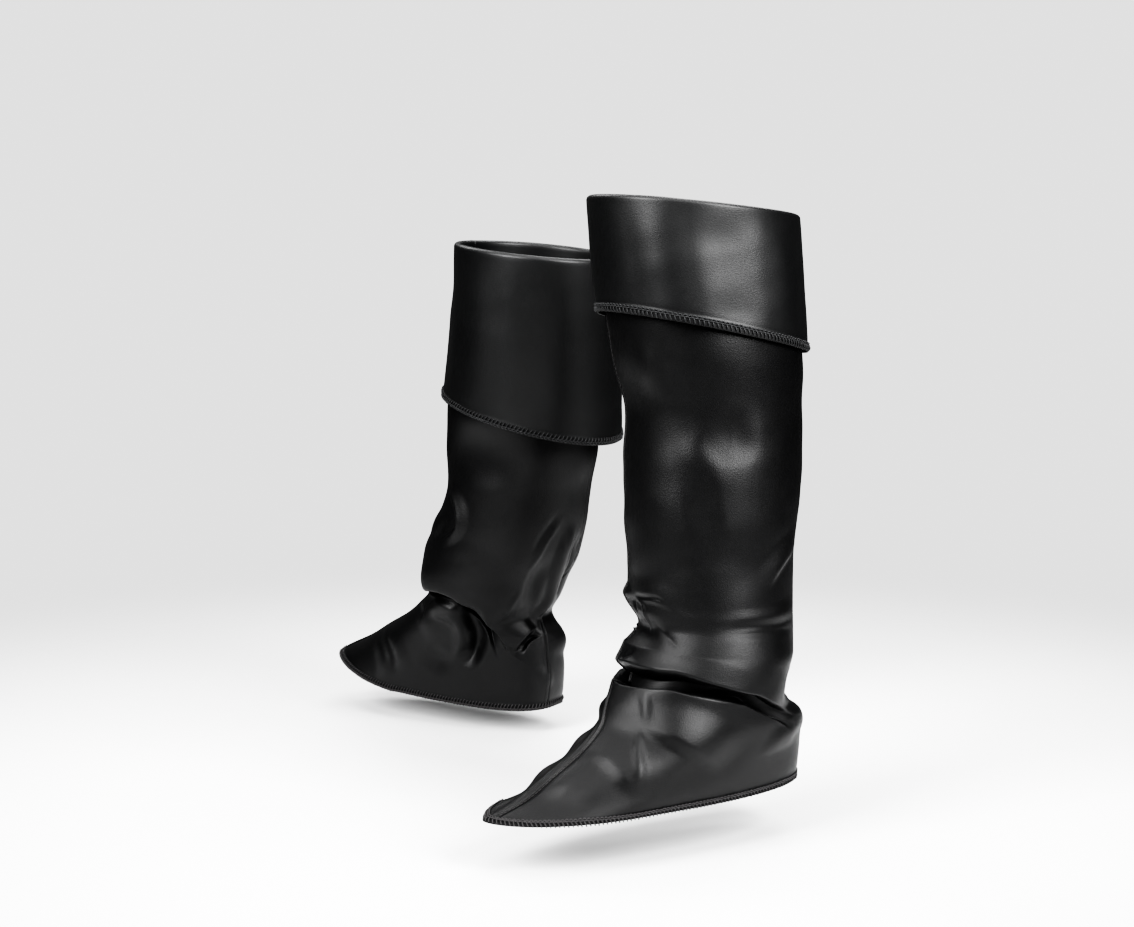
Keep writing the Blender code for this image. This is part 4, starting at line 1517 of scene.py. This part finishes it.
    def add_seam_run(
        self, name: str, face: Array, normal: Array, along: Array, offset: float, start: float
    ) -> None:
        """A line of running stitches beside the front seam.

        Args:
            name: The run's name, without the cover's.
            face: The closed grid of the cloth.
            normal: Its normals.
            along: Distance from the hem at each point, in metres.
            offset: Distance in mm from the seam, plus to the outer side.
            start: Distance from the hem where the run begins, in metres.
        """
        run = girth_along(face) / MM
        middle = face.shape[1] // 2
        rows = [i for i in range(face.shape[0]) if along[i, middle] > start]
        path, facing = (
            np.array([[np.interp(offset, run[i], grid[i, :, k]) for k in range(3)] for i in rows])
            for grid in (face, normal)
        )
        stitches = StitchRun(
            name=f"{self.pattern.name}_{name}_stitches",
            kind=StitchKind.RUNNING,
            pitch=0.003,
            width=0.0,
            thread=0.00025,
            lift=0.0002,
            lean=0.0,
            seed=9,
        )
        self.add_stitches(stitches, path, facing, False, self.finishes.hem_thread)

    def add_stitches(
        self,
        run: StitchRun,
        path: Array,
        facing: Array,
        closed: bool,
        thread: bpy.types.Material,
    ) -> None:
        """Lay a run of stitches just above the cloth, and say what it rides on."""
        raised = self.stance.place(path + unit(facing) * self.thread_rise)
        stitches = run.build(raised, unit(self.stance.turn(facing)), closed, thread)
        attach(stitches, "root")
        self.pieces.append(stitches)
        LOG.info("%s: %d faces", run.name, len(stitches.data.polygons))

    def cuff_face(self) -> tuple[Array, Array, int]:
        """The cuff's seen face: up inside the leg opening, over the turn and down the outside.

        Returns:
            The points, the normals away from the wall, and the row where the outside starts.
        """
        shaft, cuff = TubeForm(self.pattern.sections), TubeForm(self.pattern.cuff)
        turns = self.density.turns(self.density.cuff_columns)
        rise = np.linspace(shaft.length - self.cuff_tuck, shaft.length, self.density.tuck_rows)
        tuck = shaft.grid(rise, turns)[:, :, :3]
        inside = tuck - self.wall * normals_of(tuck)
        rows = self.density.cuff_fall(cuff.length)
        outside = folded(cuff.grid(rows, turns)[::-1], self.pattern.cuff_folds)[::-1]
        to_hem = self.from_hem(outside)[0] / MM
        height = self.seams(outside, self.back_seam, self.back_seam)
        slack = drape_noise(outside, turns, CUFF_SEED + self.pattern.side, CUFF_DRAPE)
        height += self.hem.band(to_hem, self.cuff_pinch) * MM + slack
        outside = outside - normals_of(outside) * height[:, :, None]
        across = outside[0] - inside[-1]
        middle = (outside[0] + inside[-1]) / 2
        radius = np.linalg.norm(across, axis=1, keepdims=True) / 2
        turn = [
            middle - across / 2 * math.cos(angle) + np.array([0, 0, 1.0]) * radius * math.sin(angle)
            for angle in np.linspace(0, math.pi, self.density.turn_steps)[1:-1]
        ]
        face = np.concatenate([inside, np.array(turn), outside])
        return face, -normals_of(face), len(inside) + len(turn)

    def from_hem(self, grid: Array) -> tuple[Array, Array]:
        """Distance of each point from the grid's last row, and from its first, in metres."""
        step = np.linalg.norm(np.diff(grid, axis=0), axis=2)
        down = np.concatenate([np.zeros((1, grid.shape[1])), np.cumsum(step, axis=0)])
        return down[-1] - down, down

    def build_cuff(self) -> None:
        """Make the two halves of the cuff, with its seams and the stitches of its hem."""
        face, normal, first = self.cuff_face()
        back = face - self.wall * normal
        around = girth_along(face)
        to_hem, along = self.from_hem(face)
        wear_and_shade = self.wear_and_shade_of(face, normal, to_hem)
        for half, (part, one, two) in self.halves(face, back).items():
            name = f"{self.pattern.name}_{half}_cuff"
            grids = (one, two, around[:, part], along[:, part], wear_and_shade[:, part])
            wall = ClothWall(name + "_cloth", *(grid[::-1] for grid in grids))
            self.add_cloth(wall, name, self.finishes.cuff)
        outside, facing = face[first:][::-1], normal[first:][::-1]
        from_hem = self.from_hem(face[first:])[0][::-1]
        self.add_hem(
            "cuff_hem", outside, facing, from_hem, self.finishes.cuff_thread, CUFF_HEM_PITCH
        )

    def build(self) -> None:
        """Make every piece of the cover."""
        self.build_shaft()
        self.build_cuff()


@dataclass(frozen=True)
class SoftLight:
    """A soft box: the way to it in degrees round and up, and its distance, size and power."""

    name: str
    around: float
    up: float
    distance: float
    size: tuple[float, float]
    power: float


@dataclass
class Studio:
    """The floor, the lights and the camera."""

    ground: float
    camera_place: tuple[float, float, float] = (1.3897, -0.0842, 0.016)
    camera_pitch: float = 0.122
    lens: float = 66.667
    aim: tuple[float, float, float] = (-0.08, -0.08, -0.2)
    floor_size: float = 12.0
    seen_light: float = 1.0
    cast_light: float = 0.05
    floor_solid: float = 0.3
    floor_radius: float = 1.1
    floor_tone: float = 0.9
    floor_roughness: float = 0.8
    sensor: float = 36.0
    lights: Sequence[SoftLight] = (
        SoftLight("key_light", 44, 30, 2.0, (0.8, 1.3), 92),
        SoftLight("fill_light", -46, 34, 2.0, (0.9, 1.2), 78),
        SoftLight("top_light", 20, 80, 1.9, (1.6, 1.6), 36),
        SoftLight("back_light", 158, 52, 2.2, (1.4, 0.8), 24),
        SoftLight("side_light", -140, 46, 2.2, (1.0, 1.0), 20),
    )

    def build(self) -> None:
        """Make the floor, the lights, the surroundings and the camera."""
        self._floor()
        for light in self.lights:
            self._light(light)
        self._surroundings()
        self._camera()

    def _floor(self) -> None:
        """A plain pale floor at the ground's height."""
        half = self.floor_size / 2
        mesh = bpy.data.meshes.new("floor")
        corners = [(-half, -half), (half, -half), (half, half), (-half, half)]
        mesh.from_pydata([(x, y, self.ground) for x, y in corners], [], [(0, 1, 2, 3)])
        pale = bpy.data.materials.new("pale_floor")
        pale.use_nodes = True
        graph = Graph(pale.node_tree)
        place = graph.add("ShaderNodeTexCoord").outputs["Object"]
        middle = graph.add(
            "ShaderNodeMapping", {"Vector": place, "Location": (-self.aim[0], -self.aim[1], 0.0)}
        ).outputs["Vector"]
        away = graph.flow("ShaderNodeVectorMath", {0: middle}, "Value", operation="LENGTH")
        fade = graph.flow(
            "ShaderNodeMapRange",
            {"Value": away, "From Min": self.floor_solid, "From Max": self.floor_radius},
            "Result",
            interpolation_type="SMOOTHERSTEP",
        )
        shader = graph.add(
            "ShaderNodeBsdfPrincipled",
            {"Base Color": (*[self.floor_tone] * 3, 1.0), "Roughness": self.floor_roughness},
        )
        clear = graph.add("ShaderNodeBsdfTransparent")
        mixed = graph.add(
            "ShaderNodeMixShader", {0: fade, 1: shader.outputs["BSDF"], 2: clear.outputs["BSDF"]}
        )
        graph.add("ShaderNodeOutputMaterial", {"Surface": mixed.outputs["Shader"]})
        mesh.materials.append(pale)
        linked("floor", mesh)

    def _light(self, light: SoftLight) -> None:
        """Add one soft box, aimed at the covers."""
        lamp = bpy.data.lights.new(light.name, "AREA")
        lamp.shape = "RECTANGLE"
        lamp.size, lamp.size_y = light.size
        lamp.energy = light.power
        box = linked(light.name, lamp)
        around, up = math.radians(light.around), math.radians(light.up)
        level = math.cos(up)
        way = np.array([math.cos(around) * level, math.sin(around) * level, math.sin(up)])
        box.location = (np.array(self.aim) + way * light.distance).tolist()
        box.rotation_euler = (math.pi / 2 - up, 0, math.pi / 2 + around)

    def _surroundings(self) -> None:
        """A pale surround, which lights the covers less than it shows."""
        world = bpy.data.worlds.new("surround")
        bpy.context.scene.world = world
        world.use_nodes = True
        graph = Graph(world.node_tree)
        seen = graph.flow("ShaderNodeLightPath", output="Is Camera Ray")
        strength = seen * (self.seen_light - self.cast_light) + self.cast_light
        light = graph.add("ShaderNodeBackground", {"Color": (1.0, 1.0, 1.0, 1.0), "Strength": strength})
        graph.add("ShaderNodeOutputWorld", {"Surface": light.outputs["Background"]})

    def _camera(self) -> None:
        """The camera, at the picture's place and angle."""
        camera = bpy.data.cameras.new("camera")
        camera.lens = self.lens
        camera.sensor_width = self.sensor
        view = linked("camera", camera)
        view.location = self.camera_place
        view.rotation_euler = (math.pi / 2 - self.camera_pitch, 0.0, math.pi / 2)
        bpy.context.scene.camera = view


def patterns() -> list[CoverPattern]:
    """The left and right covers' tables, and where each stands."""
    angle = math.radians(LEFT_TURN_OUT)
    left_heel = (
        -(HELD_FORWARD * math.sin(angle) + HELD_OUT * math.cos(angle)),
        HELD_FORWARD * math.cos(angle) - HELD_OUT * math.sin(angle),
    )
    right_heel = (left_heel[0] - STANCE_WIDTH, left_heel[1] - STRIDE)
    return [
        CoverPattern(
            name="left",
            side=1,
            heel=left_heel,
            turn_out=LEFT_TURN_OUT,
            sections=LEFT_SECTIONS,
            cuff=LEFT_CUFF,
            ankle=LEFT_ANKLE,
            folds=LEFT_FOLDS,
            fine_folds=LEFT_FINE_FOLDS,
            cuff_folds=LEFT_CUFF_FOLDS,
        ),
        CoverPattern(
            name="right",
            side=-1,
            heel=right_heel,
            turn_out=RIGHT_TURN_OUT,
            sections=RIGHT_SECTIONS,
            cuff=RIGHT_CUFF,
            ankle=RIGHT_ANKLE,
            folds=RIGHT_FOLDS,
            fine_folds=RIGHT_FINE_FOLDS,
            cuff_folds=RIGHT_CUFF_FOLDS,
        ),
    ]


def finishes_of_pair() -> Finishes:
    """The materials, the same on both covers."""
    shaft = CoatedCloth(
        name="shaft_cloth",
        colour=(0.002, 0.002, 0.0022),
        worn_colour=(0.004, 0.004, 0.0042),
        roughness=0.45,
        roughness_spread=0.11,
        grain_scale=(1300.0, 1300.0),
        grain_depth=0.0002,
        specular=0.26,
    )
    cuff = CoatedCloth(
        name="cuff_cloth",
        colour=(0.0026, 0.0027, 0.0029),
        worn_colour=(0.0045, 0.0047, 0.005),
        roughness=0.46,
        roughness_spread=0.09,
        grain_scale=(700.0, 2000.0),
        grain_depth=0.00011,
        specular=0.4,
    )
    hem_thread = Thread(name="hem_thread", colour=(0.014, 0.013, 0.0135), roughness=0.5)
    cuff_thread = Thread(name="cuff_thread", colour=(0.01, 0.0102, 0.0108), roughness=0.5)
    return Finishes(*(finish.material() for finish in (shaft, cuff, hem_thread, cuff_thread)))


def main() -> None:
    """Build the covers and the studio, and log the triangles of each piece."""
    logging.basicConfig(level=logging.INFO, format="%(message)s")
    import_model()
    finishes = finishes_of_pair()
    for pattern in patterns():
        stance = Stance(pattern.heel, pattern.turn_out, pattern.side, -HELD_HEIGHT)
        cover = Cover(pattern, stance, finishes)
        cover.build()
        for piece in cover.pieces:
            triangles = sum(len(face.vertices) - 2 for face in piece.data.polygons)
            LOG.info("%s: %d triangles", piece.name, triangles)
    Studio(-HELD_HEIGHT).build()
    bpy.context.scene.view_settings.look = "AgX - Very High Contrast"


if __name__ == "__main__":
    main()
